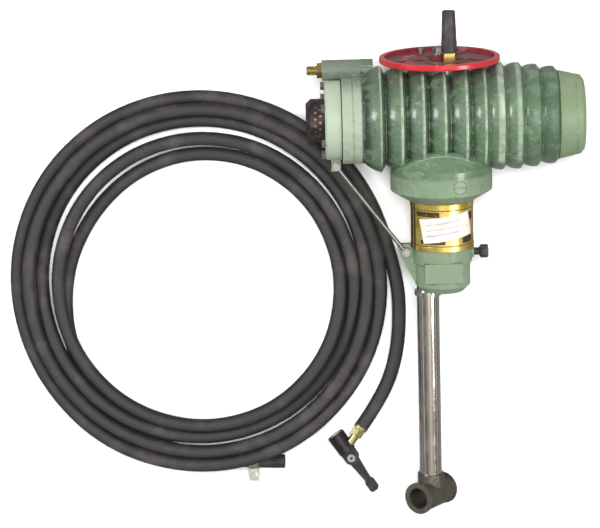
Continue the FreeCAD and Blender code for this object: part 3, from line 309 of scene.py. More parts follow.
    def bump(self, height: Field, depth: float, strength: float = 1.0, over: Optional[Field] = None) -> Field:
        """Turn a height into a normal.

        Args:
            height: The height, where 1 stands out by depth.
            depth: The depth in metres.
            strength: How much of it shows.
            over: A normal that it goes on top of.

        Returns:
            The bumped normal.
        """
        values: Dict[str, Any] = {"Height": height, "Distance": depth, "Strength": strength}
        if over is not None:
            values["Normal"] = over
        return self.out(self.node("ShaderNodeBump", None, values))

    def surface(self, **sockets: Any) -> bpy.types.Material:
        """Finish the material with one principled shader.

        Args:
            sockets: Values or Fields by socket name, with _ for spaces.

        Returns:
            The material.
        """
        values = {name.replace("_", " "): value for name, value in sockets.items()}
        shader = self.node("ShaderNodeBsdfPrincipled", None, values)
        self.node("ShaderNodeOutputMaterial", None, {"Surface": self.out(shader)})
        return self.owner


# ------------------------------------------------------------------ the pump's own axes
@dataclass(frozen=True)
class PumpAxes:
    """The pump's own frame, which lies tilted on the floor.

    right runs along the cylinders, crank along the crankshaft to the handwheel,
    and front away from the side that the pump lies on.
    """

    origin: Tuple[float, float, float]
    right: Tuple[float, float, float]
    crank: Tuple[float, float, float]
    front: Tuple[float, float, float]

    @classmethod
    def from_joints(cls, joints: Iterable[Dict[str, Any]]) -> "PumpAxes":
        """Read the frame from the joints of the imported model.

        Args:
            joints: The joints of the record.

        Returns:
            The axes.
        """
        named = {joint["name"]: joint for joint in joints}
        crank = Vector(named["crank_turn"]["axis"]).normalized()
        right = Vector(named["inlet_lift"]["axis"]).normalized()
        front = right.cross(crank)
        origin = Vector(named["crank_turn"]["pos_m"])
        return cls(tuple(origin), tuple(right), tuple(crank), tuple(front))

    def point(self, x: float, y: float, z: float) -> Vector:
        """Place in the frame of a point given in the pump's millimetres.

        Args:
            x: Along the cylinders.
            y: Along the crankshaft.
            z: To the front.

        Returns:
            The point in metres.
        """
        axes = (Vector(self.right), Vector(self.crank), Vector(self.front))
        reach = axes[0] * x + axes[1] * y + axes[2] * z
        return Vector(self.origin) + reach * MM

    def fields(self, graph: Graph) -> Tuple[Field, Field, Field]:
        """The surface's place along the pump's three axes.

        Args:
            graph: The graph that uses them.

        Returns:
            Metres to the right, along the crankshaft and to the front.
        """
        reach = graph.shift(graph.place(), self.origin)
        return (
            graph.along(reach, self.right),
            graph.along(reach, self.crank),
            graph.along(reach, self.front),
        )


AXES = PumpAxes.from_joints(frame["joints"])


# ------------------------------------------------------------------ finishes
@dataclass(frozen=True)
class Finish:
    """A finish that builds its material once and hands out the same one."""

    made: ClassVar[Dict["Finish", bpy.types.Material]] = {}

    def build(self) -> bpy.types.Material:
        """Build the material."""
        raise NotImplementedError

    def material(self) -> bpy.types.Material:
        """Hand out the finish's material, built the first time it is asked for.

        Returns:
            The finish's one material.
        """
        if self not in Finish.made:
            Finish.made[self] = self.build()
        return Finish.made[self]


class Casting(Enum):
    """Which casting a coat of green enamel is on."""

    DRUM = "drum"
    HEAD = "head"
    CAP = "cap"
    COLLAR = "collar"
    PLUG = "plug"


@dataclass(frozen=True)
class GreenEnamel(Finish):
    """Green enamel, put on with a brush over a rough sand casting, with painted highlight, sheen and shade.
    """

    casting: Casting
    base: Colour = shade(82, 106, 80)
    pale: Colour = shade(117, 134, 109)
    # Deep green for random patches, and for painted shade towards the fin roots.
    deep_tone_and_shade: Colour = shade(38, 66, 44)
    olive: Colour = shade(132, 142, 108)
    # Pale green that paints the glare of a highlight on the left-end band and the cylinder head.
    light: Colour = shade(164, 174, 154)
    # Dark colour for grime and painted shade in the fin valleys, and for the dark seam round the plug.
    grime_and_shade: Colour = shade(38, 42, 34)
    shadowed: Colour = shade(84, 94, 82)
    # Pale colour for the painted highlight along the fin crests.
    worn: Colour = shade(190, 202, 180)
    # Lighter green that paints a sheen on the glossy patches of the fins.
    painted_sheen: Colour = shade(118, 142, 114)
    chipped: Colour = shade(178, 188, 164)
    roughness: float = 0.40
    fin_valley: float = 0.0485
    fin_foot: float = 0.0535
    crest_low: float = 0.0561
    crest_high: float = 0.0568
    neck_start: float = -0.0555
    neck_full: float = -0.0600
    face_start: float = -0.0815
    face_full: float = -0.0845
    seam_inside: float = 0.0064
    seam_outside: float = 0.0073
    plug_turn: float = 19.0
    plug_height: float = -0.066

    def build(self) -> bpy.types.Material:
        """Build the enamel.

        Returns:
            The material.
        """
        graph = Graph(bpy.data.materials.new("green_enamel_" + self.casting.value))
        across, up, front = AXES.fields(graph)
        clouds = graph.noise(38.0, 4.0, 0.6)
        patches = graph.noise(160.0, 3.0, 0.6)
        radius = graph.maths("SQRT", up * up + front * front)
        colour = graph.mix(self.base, self.pale, graph.step(clouds, 0.38, 0.68) * 0.55)
        colour = graph.mix(colour, self.deep_tone_and_shade, graph.step(patches, 0.56, 0.74) * 0.35)
        rough: Number = self.roughness + patches * 0.14
        depth = 0.0007
        lumps = 0.5
        coat: Number = 0.12
        if self.casting is Casting.DRUM:
            neck = graph.step(up, self.neck_start, self.neck_full)
            face = graph.step(across, self.face_start, self.face_full)
            fins = (1.0 - neck) * (1.0 - face)
            # Painted shade: the fins darken towards their roots.
            colour = graph.mix(colour, self.deep_tone_and_shade, fins * graph.step(radius, 0.0560, 0.0500) * 0.55)
            colour = graph.mix(colour, self.pale, neck * 0.75)
            # Painted highlight: the left-end band of the crankcase is paled as if lit.
            colour = graph.mix(colour, self.light, face * 0.65)
            # Painted shade: the drum darkens on the side towards the handwheel.
            back = graph.step(up, 0.028, 0.050) * (1.0 - neck)
            colour = graph.mix(colour, self.shadowed, back * 0.8)
            # Painted shade and grime in the fin valleys on the left.
            valley = fins * graph.step(radius, self.fin_foot, self.fin_valley)
            left = graph.step(across, 0.034, 0.028)
            colour = graph.mix(colour, self.grime_and_shade, valley * left * (0.55 + patches * 0.8))
            # Painted highlight: a thin pale line along each fin crest.
            crest = fins * graph.band(radius, self.crest_low, self.crest_high, 0.0003)
            crest = crest * graph.step(up, -0.046, -0.040)
            colour = graph.mix(colour, self.worn, crest * (0.30 + graph.noise(300.0) * 0.6))
            # Painted sheen: the glossier patches of the fins are also lighter.
            gloss = fins * graph.step(graph.noise(75.0, 3.0, 0.6), 0.50, 0.66)
            colour = graph.mix(colour, self.painted_sheen, gloss * 0.5)
            rough = rough - gloss * 0.08
            colour = graph.mix(colour, self.deep_tone_and_shade, fins * graph.step(clouds, 0.42, 0.60) * 0.35)
            plug = math.radians(self.plug_turn)
            aside = across * math.cos(plug) - front * math.sin(plug)
            down = up - self.plug_height
            ring = graph.maths("SQRT", aside * aside + down * down)
            seam = graph.band(ring, self.seam_inside, self.seam_outside, 0.0003)
            seam = seam * graph.step(front, 0.030, 0.035)
            colour = graph.mix(colour, self.grime_and_shade, seam * 0.7)
            rough = rough - fins * 0.12
            depth = 0.0013
            lumps = 2.4
            coat = 0.10 + fins * 0.6
        elif self.casting is Casting.PLUG:
            colour = graph.mix(colour, self.pale, 0.85)
        elif self.casting is Casting.CAP:
            colour = graph.mix(colour, self.olive, 0.62 - clouds * 0.3)
            depth = 0.0002
        elif self.casting is Casting.HEAD:
            # Painted highlight: the whole head is paled as if lit.
            colour = graph.mix(colour, self.light, 0.8)
            depth = 0.0002
        elif self.casting is Casting.COLLAR:
            colour = graph.mix(colour, self.pale, 0.75)
            rough = rough + 0.10
            depth = 0.0007
        soft = graph.rounded(0.0011)
        edge = graph.edges(soft)
        chips = edge * graph.step(graph.noise(210.0, 4.0, 0.7), 0.47, 0.56)
        colour = graph.mix(colour, self.pale, edge * 0.5)
        colour = graph.mix(colour, self.chipped, chips * 0.75)
        height = graph.noise(520.0, 4.0, 0.65) * 0.5 + graph.noise(95.0, 2.0, 0.5) * lumps
        height = height + graph.cells(330.0) * 0.3
        normal = graph.bump(height, depth, 0.75, soft)
        return graph.surface(
            Base_Color=colour,
            Roughness=rough,
            Normal=normal,
            Coat_Weight=coat,
            Coat_Roughness=0.18,
            IOR=1.5,
        )


@dataclass(frozen=True)
class RedEnamel(Finish):
    """Red enamel on the pressed handwheel, dull and dirty inside the rim."""

    rim: Colour = shade(178, 30, 40)
    web: Colour = shade(112, 34, 48)
    dirt: Colour = shade(58, 40, 36)
    olive: Colour = shade(104, 84, 52)
    # Dark colour for the painted shade on the rear rim's outer edge.
    black: Colour = shade(34, 24, 24)
    clouded: Colour = shade(140, 20, 32)
    rubbed_edge: Colour = shade(222, 70, 78)
    rim_inside: float = 0.0580
    web_start: float = 0.0606
    web_full: float = 0.0612
    boss_radius: float = 0.0215
    boss_right: float = 0.006
    boss_front: float = 0.012

    def build(self) -> bpy.types.Material:
        """Build the enamel.

        Returns:
            The material.
        """
        graph = Graph(bpy.data.materials.new("red_enamel"))
        across, up, front = AXES.fields(graph)
        radius = graph.maths("SQRT", across * across + front * front)
        inside = graph.step(radius, self.rim_inside + 0.0006, self.rim_inside - 0.0006)
        above = graph.step(up, self.web_start, self.web_full)
        web = inside * above
        clouds = graph.noise(90.0, 4.0, 0.65)
        colour = graph.mix(self.rim, self.clouded, graph.step(clouds, 0.5, 0.7) * 0.6)
        colour = graph.mix(colour, self.web, web)
        colour = graph.mix(colour, self.dirt, web * graph.step(clouds, 0.48, 0.66) * 0.8)
        off_right = across - self.boss_right
        off_front = front - self.boss_front
        ring = graph.maths("SQRT", off_right * off_right + off_front * off_front)
        boss = graph.band(ring, self.boss_radius - 0.0032, self.boss_radius + 0.0008, 0.0006) * web
        rubbed = graph.step(graph.noise(240.0, 3.0, 0.6), 0.40, 0.55)
        colour = graph.mix(colour, self.olive, boss * (0.45 + rubbed * 0.5))
        floor_of_boss = graph.step(ring, self.boss_radius - 0.003, self.boss_radius - 0.005) * web
        colour = graph.mix(colour, self.dirt, floor_of_boss * rubbed * 0.6)
        # Painted shade: the outer edge of the rim at the back is darkened.
        shaded_rear_rim = graph.step(front, -0.030, -0.052) * graph.step(radius, 0.0560, 0.0600)
        colour = graph.mix(colour, self.black, shaded_rear_rim * 0.7)
        soft = graph.rounded(0.0006)
        edge = graph.edges(soft)
        colour = graph.mix(colour, self.rubbed_edge, edge * (1.0 - web) * 0.5)
        height = graph.noise(420.0, 3.0, 0.6) + graph.noise(120.0, 2.0, 0.5) * 0.6
        return graph.surface(
            Base_Color=colour,
            Roughness=0.26 + web * 0.22 + clouds * 0.1,
            Normal=graph.bump(height, 0.0003, 0.6, soft),
            Coat_Weight=0.4,
            Coat_Roughness=0.12,
        )


@dataclass(frozen=True)
class HoseRubber(Finish):
    """Dark rubber hose with the print of its cloth wrap and a film of dust."""

    base: Colour = shade(35, 34, 34)
    dust: Colour = shade(88, 84, 82)
    wrap_pitch: float = 0.0016

    def build(self) -> bpy.types.Material:
        """Build the rubber.

        Returns:
            The material.
        """
        graph = Graph(bpy.data.materials.new("hose_rubber"))
        clouds = graph.noise(26.0, 5.0, 0.65)
        specks = graph.noise(380.0, 3.0, 0.7)
        colour = graph.mix(self.base, self.dust, graph.step(clouds, 0.46, 0.72) * 0.5)
        colour = graph.mix(colour, self.dust, graph.step(specks, 0.62, 0.74) * 0.45)
        # Lighter where the surface faces up, mixed with the dust colour.
        facing = graph.along(graph.out(graph.node("ShaderNodeNewGeometry"), "Normal"), (0.0, 0.0, 1.0))
        colour = graph.mix(colour, self.dust, graph.step(facing, 0.55, 1.0) * 0.22)
        place = graph.place()
        weave_a = graph.maths("SINE", graph.along(place, (0.7, 0.7, 0.0)) * (math.tau / self.wrap_pitch))
        weave_b = graph.maths("SINE", graph.along(place, (0.7, -0.7, 0.0)) * (math.tau / self.wrap_pitch))
        height = (weave_a * weave_b) * 0.35 + graph.noise(900.0, 2.0, 0.6) * 0.8
        return graph.surface(
            Base_Color=colour,
            Roughness=0.50 + clouds * 0.18,
            Normal=graph.bump(height, 0.00018, 0.7),
            Specular_IOR_Level=0.42,
        )


@dataclass(frozen=True)
class SleeveFoil(Finish):
    """Lacquered brass sleeve wrapped with a printed gold and brown band."""

    gold: Colour = shade(222, 184, 74)
    bright: Colour = shade(246, 222, 132)
    brown: Colour = shade(58, 42, 20)
    top: float = -0.0880
    bottom: float = -0.1390
    brown_fields: Tuple[Tuple[float, float, float, float], ...] = (
        (-0.98, -0.12, -0.0135, -0.0078),
        (0.62, 1.20, -0.0190, -0.0105),
        (-0.80, 0.06, -0.0430, -0.0385),
        (0.66, 1.15, -0.0430, -0.0300),
    )

    def build(self) -> bpy.types.Material:
        """Build the foil.

        Returns:
            The material.
        """
        graph = Graph(bpy.data.materials.new("sleeve_foil"))
        across, up, front = AXES.fields(graph)
        turn = graph.maths("ARCTAN2", across, front)
        clouds = graph.noise(60.0, 4.0, 0.6)
        scuffs = graph.noise(300.0, 4.0, 0.75)
        colour = graph.mix(self.gold, self.bright, graph.step(clouds, 0.40, 0.62))
        top_line = graph.band(up, self.top - 0.0070, self.top - 0.0060, 0.0003)
        bottom_line = graph.band(up, self.bottom + 0.0056, self.bottom + 0.0066, 0.0003)
        brown = graph.maths("MAXIMUM", top_line, bottom_line)
        for start, end, low, high in self.brown_fields:
            around = graph.band(turn, start, end, 0.02)
            rising = graph.band(up, self.top + low, self.top + high, 0.0004)
            brown = graph.maths("MAXIMUM", brown, around * rising)
        side = graph.band(turn, -1.42, -1.02, 0.03) * (1.0 - graph.band(turn, -1.20, -1.15, 0.015))
        far_side = graph.band(turn, 1.30, 1.75, 0.03)
        brown = graph.maths("MAXIMUM", brown, graph.maths("MAXIMUM", side, far_side))
        worn = 1.0 - graph.step(scuffs, 0.60, 0.70) * 0.6
        colour = graph.mix(colour, self.brown, brown * worn)
        height = scuffs * 0.5 + graph.noise(90.0, 2.0, 0.5) + brown * 0.1
        return graph.surface(
            Base_Color=colour,
            Roughness=0.24 + scuffs * 0.18 + brown * 0.15,
            Metallic=0.9 - brown * 0.75,
            Normal=graph.bump(height, 0.00022, 0.5, graph.rounded(0.0004)),
        )


@dataclass(frozen=True)
class PaperLabel(Finish):
    """White paper label with faint generic bars, slightly grubby."""

    paper: Colour = shade(214, 206, 198)
    ink: Colour = shade(96, 84, 82)
    grubby: Colour = shade(190, 180, 170)
    middle: float = -0.1135
    slant: float = 0.149
    pitch: float = 0.0058

    def build(self) -> bpy.types.Material:
        """Build the label.

        Returns:
            The material.
        """
        graph = Graph(bpy.data.materials.new("paper_label"))
        across, up, front = AXES.fields(graph)
        arc = graph.maths("ARCTAN2", across, front) * 0.0335
        rise = (up - self.middle) - arc * self.slant
        upper = graph.band(rise, self.pitch - 0.0006, self.pitch + 0.0006, 0.0003)
        central = graph.band(rise, -0.0008, 0.0004, 0.0003)
        lower = graph.band(rise, -self.pitch - 0.0010, -self.pitch + 0.0006, 0.0003)
        bars = graph.maths("MAXIMUM", graph.maths("MAXIMUM", upper, central), lower)
        gaps = graph.step(graph.maths("SINE", arc * 2600.0 + rise * 300.0), -0.35, 0.05)
        inside = graph.band(arc, -0.0190, 0.0175, 0.0008)
        smudge = graph.noise(70.0, 4.0, 0.6)
        colour = graph.mix(self.paper, self.grubby, graph.step(smudge, 0.45, 0.7))
        colour = graph.mix(colour, self.ink, bars * gaps * inside * 0.8)
        fibre = graph.noise(1500.0, 3.0, 0.6)
        return graph.surface(
            Base_Color=colour,
            Roughness=0.50 + fibre * 0.15,
            Normal=graph.bump(fibre + smudge, 0.00008, 0.6),
        )


@dataclass(frozen=True)
class Metal(Finish):
    """Bare or plated metal with its own grain, stains and dirt."""

    name: str
    clean: Colour
    stained: Colour
    roughness: float = 0.3
    stains: float = 0.5
    grain: float = 0.4
    stretch: Tuple[float, float, float] = (1.0, 1.0, 1.0)

    def build(self) -> bpy.types.Material:
        """Build the metal.

        Returns:
            The material.
        """
        graph = Graph(bpy.data.materials.new(self.name))
        place = graph.place()
        drawn = graph.join(
            graph.along(place, (self.stretch[0], 0.0, 0.0)),
            graph.along(place, (0.0, self.stretch[1], 0.0)),
            graph.along(place, (0.0, 0.0, self.stretch[2])),
        )
        clouds = graph.noise(55.0, 5.0, 0.65)
        streaks = graph.noise(420.0, 4.0, 0.7, drawn)
        mask = graph.step(clouds * 0.6 + streaks * 0.4, 0.46, 0.62)
        colour = graph.mix(self.clean, self.stained, mask * self.stains)
        colour = graph.mix(colour, self.stained, graph.step(streaks, 0.62, 0.72) * self.stains * 0.7)
        height = streaks * 0.7 + graph.noise(1200.0, 2.0, 0.5, drawn) * 0.5
        return graph.surface(
            Base_Color=colour,
            Roughness=self.roughness + mask * self.stains * 0.25 + streaks * 0.06,
            Metallic=1.0 - mask * self.stains * 0.25,
            Normal=graph.bump(height, 0.0001, self.grain, graph.rounded(0.0004)),
        )


@dataclass(frozen=True)
class Moulded(Finish):
    """Black or dark moulded plastic, rubber or paint with scuffs."""

    name: str
    base: Colour
    scuffed: Colour
    roughness: float = 0.4
    pebble: float = 500.0
    depth: float = 0.0002
    scuffs: float = 0.5

    def build(self) -> bpy.types.Material:
        """Build the moulding's skin.

        Returns:
            The material.
        """
        graph = Graph(bpy.data.materials.new(self.name))
        clouds = graph.noise(80.0, 4.0, 0.65)
        specks = graph.noise(650.0, 4.0, 0.7)
        soft = graph.rounded(0.0005)
        edge = graph.edges(soft)
        colour = graph.mix(self.base, self.scuffed, graph.step(clouds, 0.45, 0.7) * self.scuffs)
        colour = graph.mix(colour, self.scuffed, graph.step(specks, 0.6, 0.72) * self.scuffs * 0.6)
        colour = graph.mix(colour, self.scuffed, edge * 0.45)
        height = graph.cells(self.pebble) * 0.6 + specks * 0.6
        return graph.surface(
            Base_Color=colour,
            Roughness=self.roughness + clouds * 0.15,
            Normal=graph.bump(height, self.depth, 0.6, soft),
        )


CHROME = Metal(
    "chrome_plate", shade(232, 228, 220), shade(146, 130, 110), 0.08, 0.4, 0.2, (1.0, 0.12, 1.0)
)
POLISHED = Metal("polished_brass", shade(232, 204, 128), shade(146, 112, 54), 0.22, 0.4)
STEEL = Metal("bright_steel", shade(176, 174, 168), shade(96, 88, 78), 0.3, 0.4)
ZINC = Metal("zinc_plate", shade(188, 188, 182), shade(104, 100, 88), 0.28, 0.35)
CLAMP_STEEL = Metal("clamp_steel", shade(226, 226, 220), shade(140, 138, 128), 0.2, 0.3)
DULL_STEEL = Metal("dull_steel", shade(148, 142, 132), shade(74, 66, 58), 0.38, 0.7, 0.8)
IRON = Metal("cast_iron", shade(92, 90, 88), shade(56, 50, 46), 0.55, 0.5, 0.9)
ALUMINIUM = Metal("aluminium", shade(204, 206, 206), shade(140, 140, 136), 0.36, 0.3)
BARB_BRASS = Metal("barb_brass", shade(206, 194, 140), shade(128, 112, 60), 0.3, 0.5)
BLACK_PAINT = Moulded("black_paint", shade(30, 28, 28), shade(96, 88, 82), 0.34, 420.0, 0.0003, 0.35)
BLACK_PLASTIC = Moulded("black_plastic", shade(48, 43, 42), shade(112, 104, 100), 0.42, 700.0, 0.0002, 0.4)
CHUCK_BLACK = Moulded("chuck_black", shade(26, 22, 24), shade(84, 74, 74), 0.30, 500.0, 0.0002, 0.4)
SEAL_RUBBER = Moulded("seal_rubber", shade(226, 222, 214), shade(150, 146, 138), 0.6, 900.0, 0.0001, 0.3)
DARK_RUBBER = Moulded("dark_rubber", shade(34, 33, 33), shade(80, 76, 72), 0.62, 900.0, 0.0001, 0.3)
FOAM = Moulded("filter_foam", shade(176, 92, 84), shade(226, 176, 160), 0.8, 620.0, 0.0008, 0.9)


def dress(node: str, finish: Finish) -> None:
    """Give a CAD node its finish, without touching its mesh.

    Args:
        node: The node's name.
        finish: The finish.
    """
    piece = frame["nodes"][node]
    if not piece.material_slots:
        piece.data.materials.append(None)
    for slot in piece.material_slots:
        slot.link = "OBJECT"
        slot.material = finish.material()


def new_piece(name: str, shape: bmesh.types.BMesh, finish: Finish, body: str) -> bpy.types.Object:
    """Make a piece from a mesh, dress it and let it ride on a body.

    Args:
        name: The piece's name.
        shape: Its mesh, in the frame at rest; it is freed here.
        finish: Its finish.
        body: The body that it rides on.

    Returns:
        The piece.
    """
    mesh = bpy.data.meshes.new(name)
    bmesh.ops.recalc_face_normals(shape, faces=shape.faces)
    shape.to_mesh(mesh)
    shape.free()
    piece = bpy.data.objects.new(name, mesh)
    bpy.context.scene.collection.objects.link(piece)
    mesh.materials.append(finish.material())
    for face in mesh.polygons:
        face.use_smooth = True
    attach(piece, body)
    return piece


def turned(
    shape: bmesh.types.BMesh, profile: Sequence[Tuple[float, float]], steps: int, place: Matrix
) -> None:
    """Turn a closed profile about an axis and add it to a mesh.

    Args:
        shape: The mesh that it is added to.
        profile: Points (radius, height) of the closed outline.
        steps: How many facets go round.
        place: Where the axis is; the height runs along its Z.
    """
    rings: List[List[bmesh.types.BMVert]] = []
    for step in range(steps):
        angle = math.tau * step / steps
        ring = []
        for radius, height in profile:
            point = Vector((radius * math.cos(angle), radius * math.sin(angle), height))
            ring.append(shape.verts.new(place @ point))
        rings.append(ring)
    count = len(profile)
    for step in range(steps):
        near, far = rings[step], rings[(step + 1) % steps]
        for number in range(count):
            following = (number + 1) % count
            shape.faces.new((near[number], far[number], far[following], near[following]))


# ------------------------------------------------------------------ sub-assemblies
@dataclass
class PumpBody:
    """Crankcase with its fins, cylinder head, end cap and everything on the outside."""

    castings: Dict[str, Casting] = field(default_factory=lambda: {
        "crankcase": Casting.DRUM,
        "cylinder_head": Casting.HEAD,
        "end_cap": Casting.CAP,
        "neck_plug": Casting.PLUG,
    })
    others: Dict[str, Finish] = field(default_factory=lambda: {
        "head_bolts": ZINC,
        "head_gasket": DARK_RUBBER,
        "filter_cap": BLACK_PAINT,
        "filter_foam": FOAM,
        "outlet_nipple": POLISHED,
        "shaft_seal": DARK_RUBBER,
        "base_sleeve": SleeveFoil(),
        "sleeve_label": PaperLabel(),
    })

    def build(self) -> None:
        """Dress the castings and the pieces fixed to them."""
        for node, casting in self.castings.items():
            dress(node, GreenEnamel(casting))
        for node, finish in self.others.items():
            dress(node, finish)
        LOG.info("pump body: %d pieces dressed", len(self.castings) + len(self.others))


@dataclass
class Works:
    """The moving and fixed pieces inside the crankcase and the cylinders."""

    steel: Tuple[str, ...] = (
        "crankshaft", "piston_rod", "rod_clip", "guide_screws", "wheel_key", "inlet_valve",
        "inlet_keeper", "inlet_spring", "outlet_ball", "outlet_spring", "piston_nut_left",
        "piston_nut_right",
    )
    brass: Tuple[str, ...] = ("rod_bush_left", "rod_bush_right", "lower_shaft_bush", "upper_shaft_bush")
    iron: Tuple[str, ...] = ("liner_left", "liner_right", "guide_plate", "trammel_link")
    aluminium: Tuple[str, ...] = ("piston_left", "piston_right")
    rings: Tuple[str, ...] = ("piston_ring_left", "piston_ring_right")

    def build(self) -> None:
        """Dress the works."""
        groups = (
            (self.steel, STEEL),
            (self.brass, POLISHED),
            (self.iron, IRON),
            (self.aluminium, ALUMINIUM),
            (self.rings, DARK_RUBBER),
        )
        for nodes, finish in groups:
            for node in nodes:
                dress(node, finish)
        LOG.info("works: %d pieces dressed", sum(len(nodes) for nodes, _ in groups))


@dataclass
class Handwheel:
    """Red handwheel with its grip, nut and raised generic marks."""

    web_top: float = 62.6
    mark_height: float = 0.9
    mark_width: float = 2.2
    mark_radius: float = 37.0
    mark_length: float = 9.0
    mark_count: int = 7
    mark_start: float = 138.0
    mark_step: float = 14.0
    mark_sink: float = 0.2
    mark_facets: int = 12

    def dress_pieces(self) -> None:
        """Dress the CAD pieces of the wheel."""
        dress("handwheel", RedEnamel())
        dress("grip", BLACK_PLASTIC)
        dress("grip_collar", POLISHED)
        for node in ("hub_washer", "hub_nut", "wheel_stud", "grip_screw"):
            dress(node, ZINC)

    def bar(self, shape: bmesh.types.BMesh, turn: float) -> None:
        """Add one raised bar with rounded shoulders to the marks.

        Args:
            shape: The mesh.
            turn: Degrees round the crankshaft.
        """
        angle = math.radians(turn)
        outward = Vector((math.cos(angle), 0.0, math.sin(angle)))
        sideways = Vector((-outward.z, 0.0, outward.x))
        middle = outward * self.mark_radius
        layers = ((1.0, 0.0), (1.0, 0.6), (0.7, 1.0))
        loops: List[List[bmesh.types.BMVert]] = []
        for share, rise in layers:
            loop = []
            for step in range(self.mark_facets):
                around = math.tau * step / self.mark_facets
                long_side = math.copysign(abs(math.cos(around)) ** 0.5, math.cos(around))
                short_side = math.copysign(abs(math.sin(around)) ** 0.5, math.sin(around))
                reach = outward * long_side * (self.mark_length / 2 - (1 - share))
                reach = reach + sideways * short_side * self.mark_width / 2 * share
                spot = middle + reach
                height = self.web_top - self.mark_sink + rise * (self.mark_height + self.mark_sink)
                loop.append(shape.verts.new(AXES.point(spot.x, height, spot.z)))
            loops.append(loop)
        for lower, upper in zip(loops, loops[1:]):
            for step in range(self.mark_facets):
                after = (step + 1) % self.mark_facets
                shape.faces.new((lower[step], lower[after], upper[after], upper[step]))
        shape.faces.new(loops[-1])
        shape.faces.new(list(reversed(loops[0])))

    def build(self) -> None:
        """Dress the wheel and add its raised marks."""
        self.dress_pieces()
        shape = bmesh.new()
        for number in range(self.mark_count):
            self.bar(shape, self.mark_start + number * self.mark_step)
        new_piece("wheel_marks", shape, RedEnamel(web=shade(150, 84, 88)), "crank")
        LOG.info("handwheel: dressed, with %d raised bars", self.mark_count)


@dataclass
class Foot:
    """Foot collar, leg, eye and stay rod."""

    def build(self) -> None:
        """Dress the pieces of the foot."""
        dress("foot_collar", GreenEnamel(Casting.COLLAR))
        dress("leg_tube", CHROME)
        dress("leg_ring", CHROME)
        dress("foot_eye", DULL_STEEL)
        dress("stay_rod", STEEL)
        dress("stay_bolts", ZINC)
        dress("thumb_screw", BLACK_PLASTIC)
        LOG.info("foot: 7 pieces dressed")


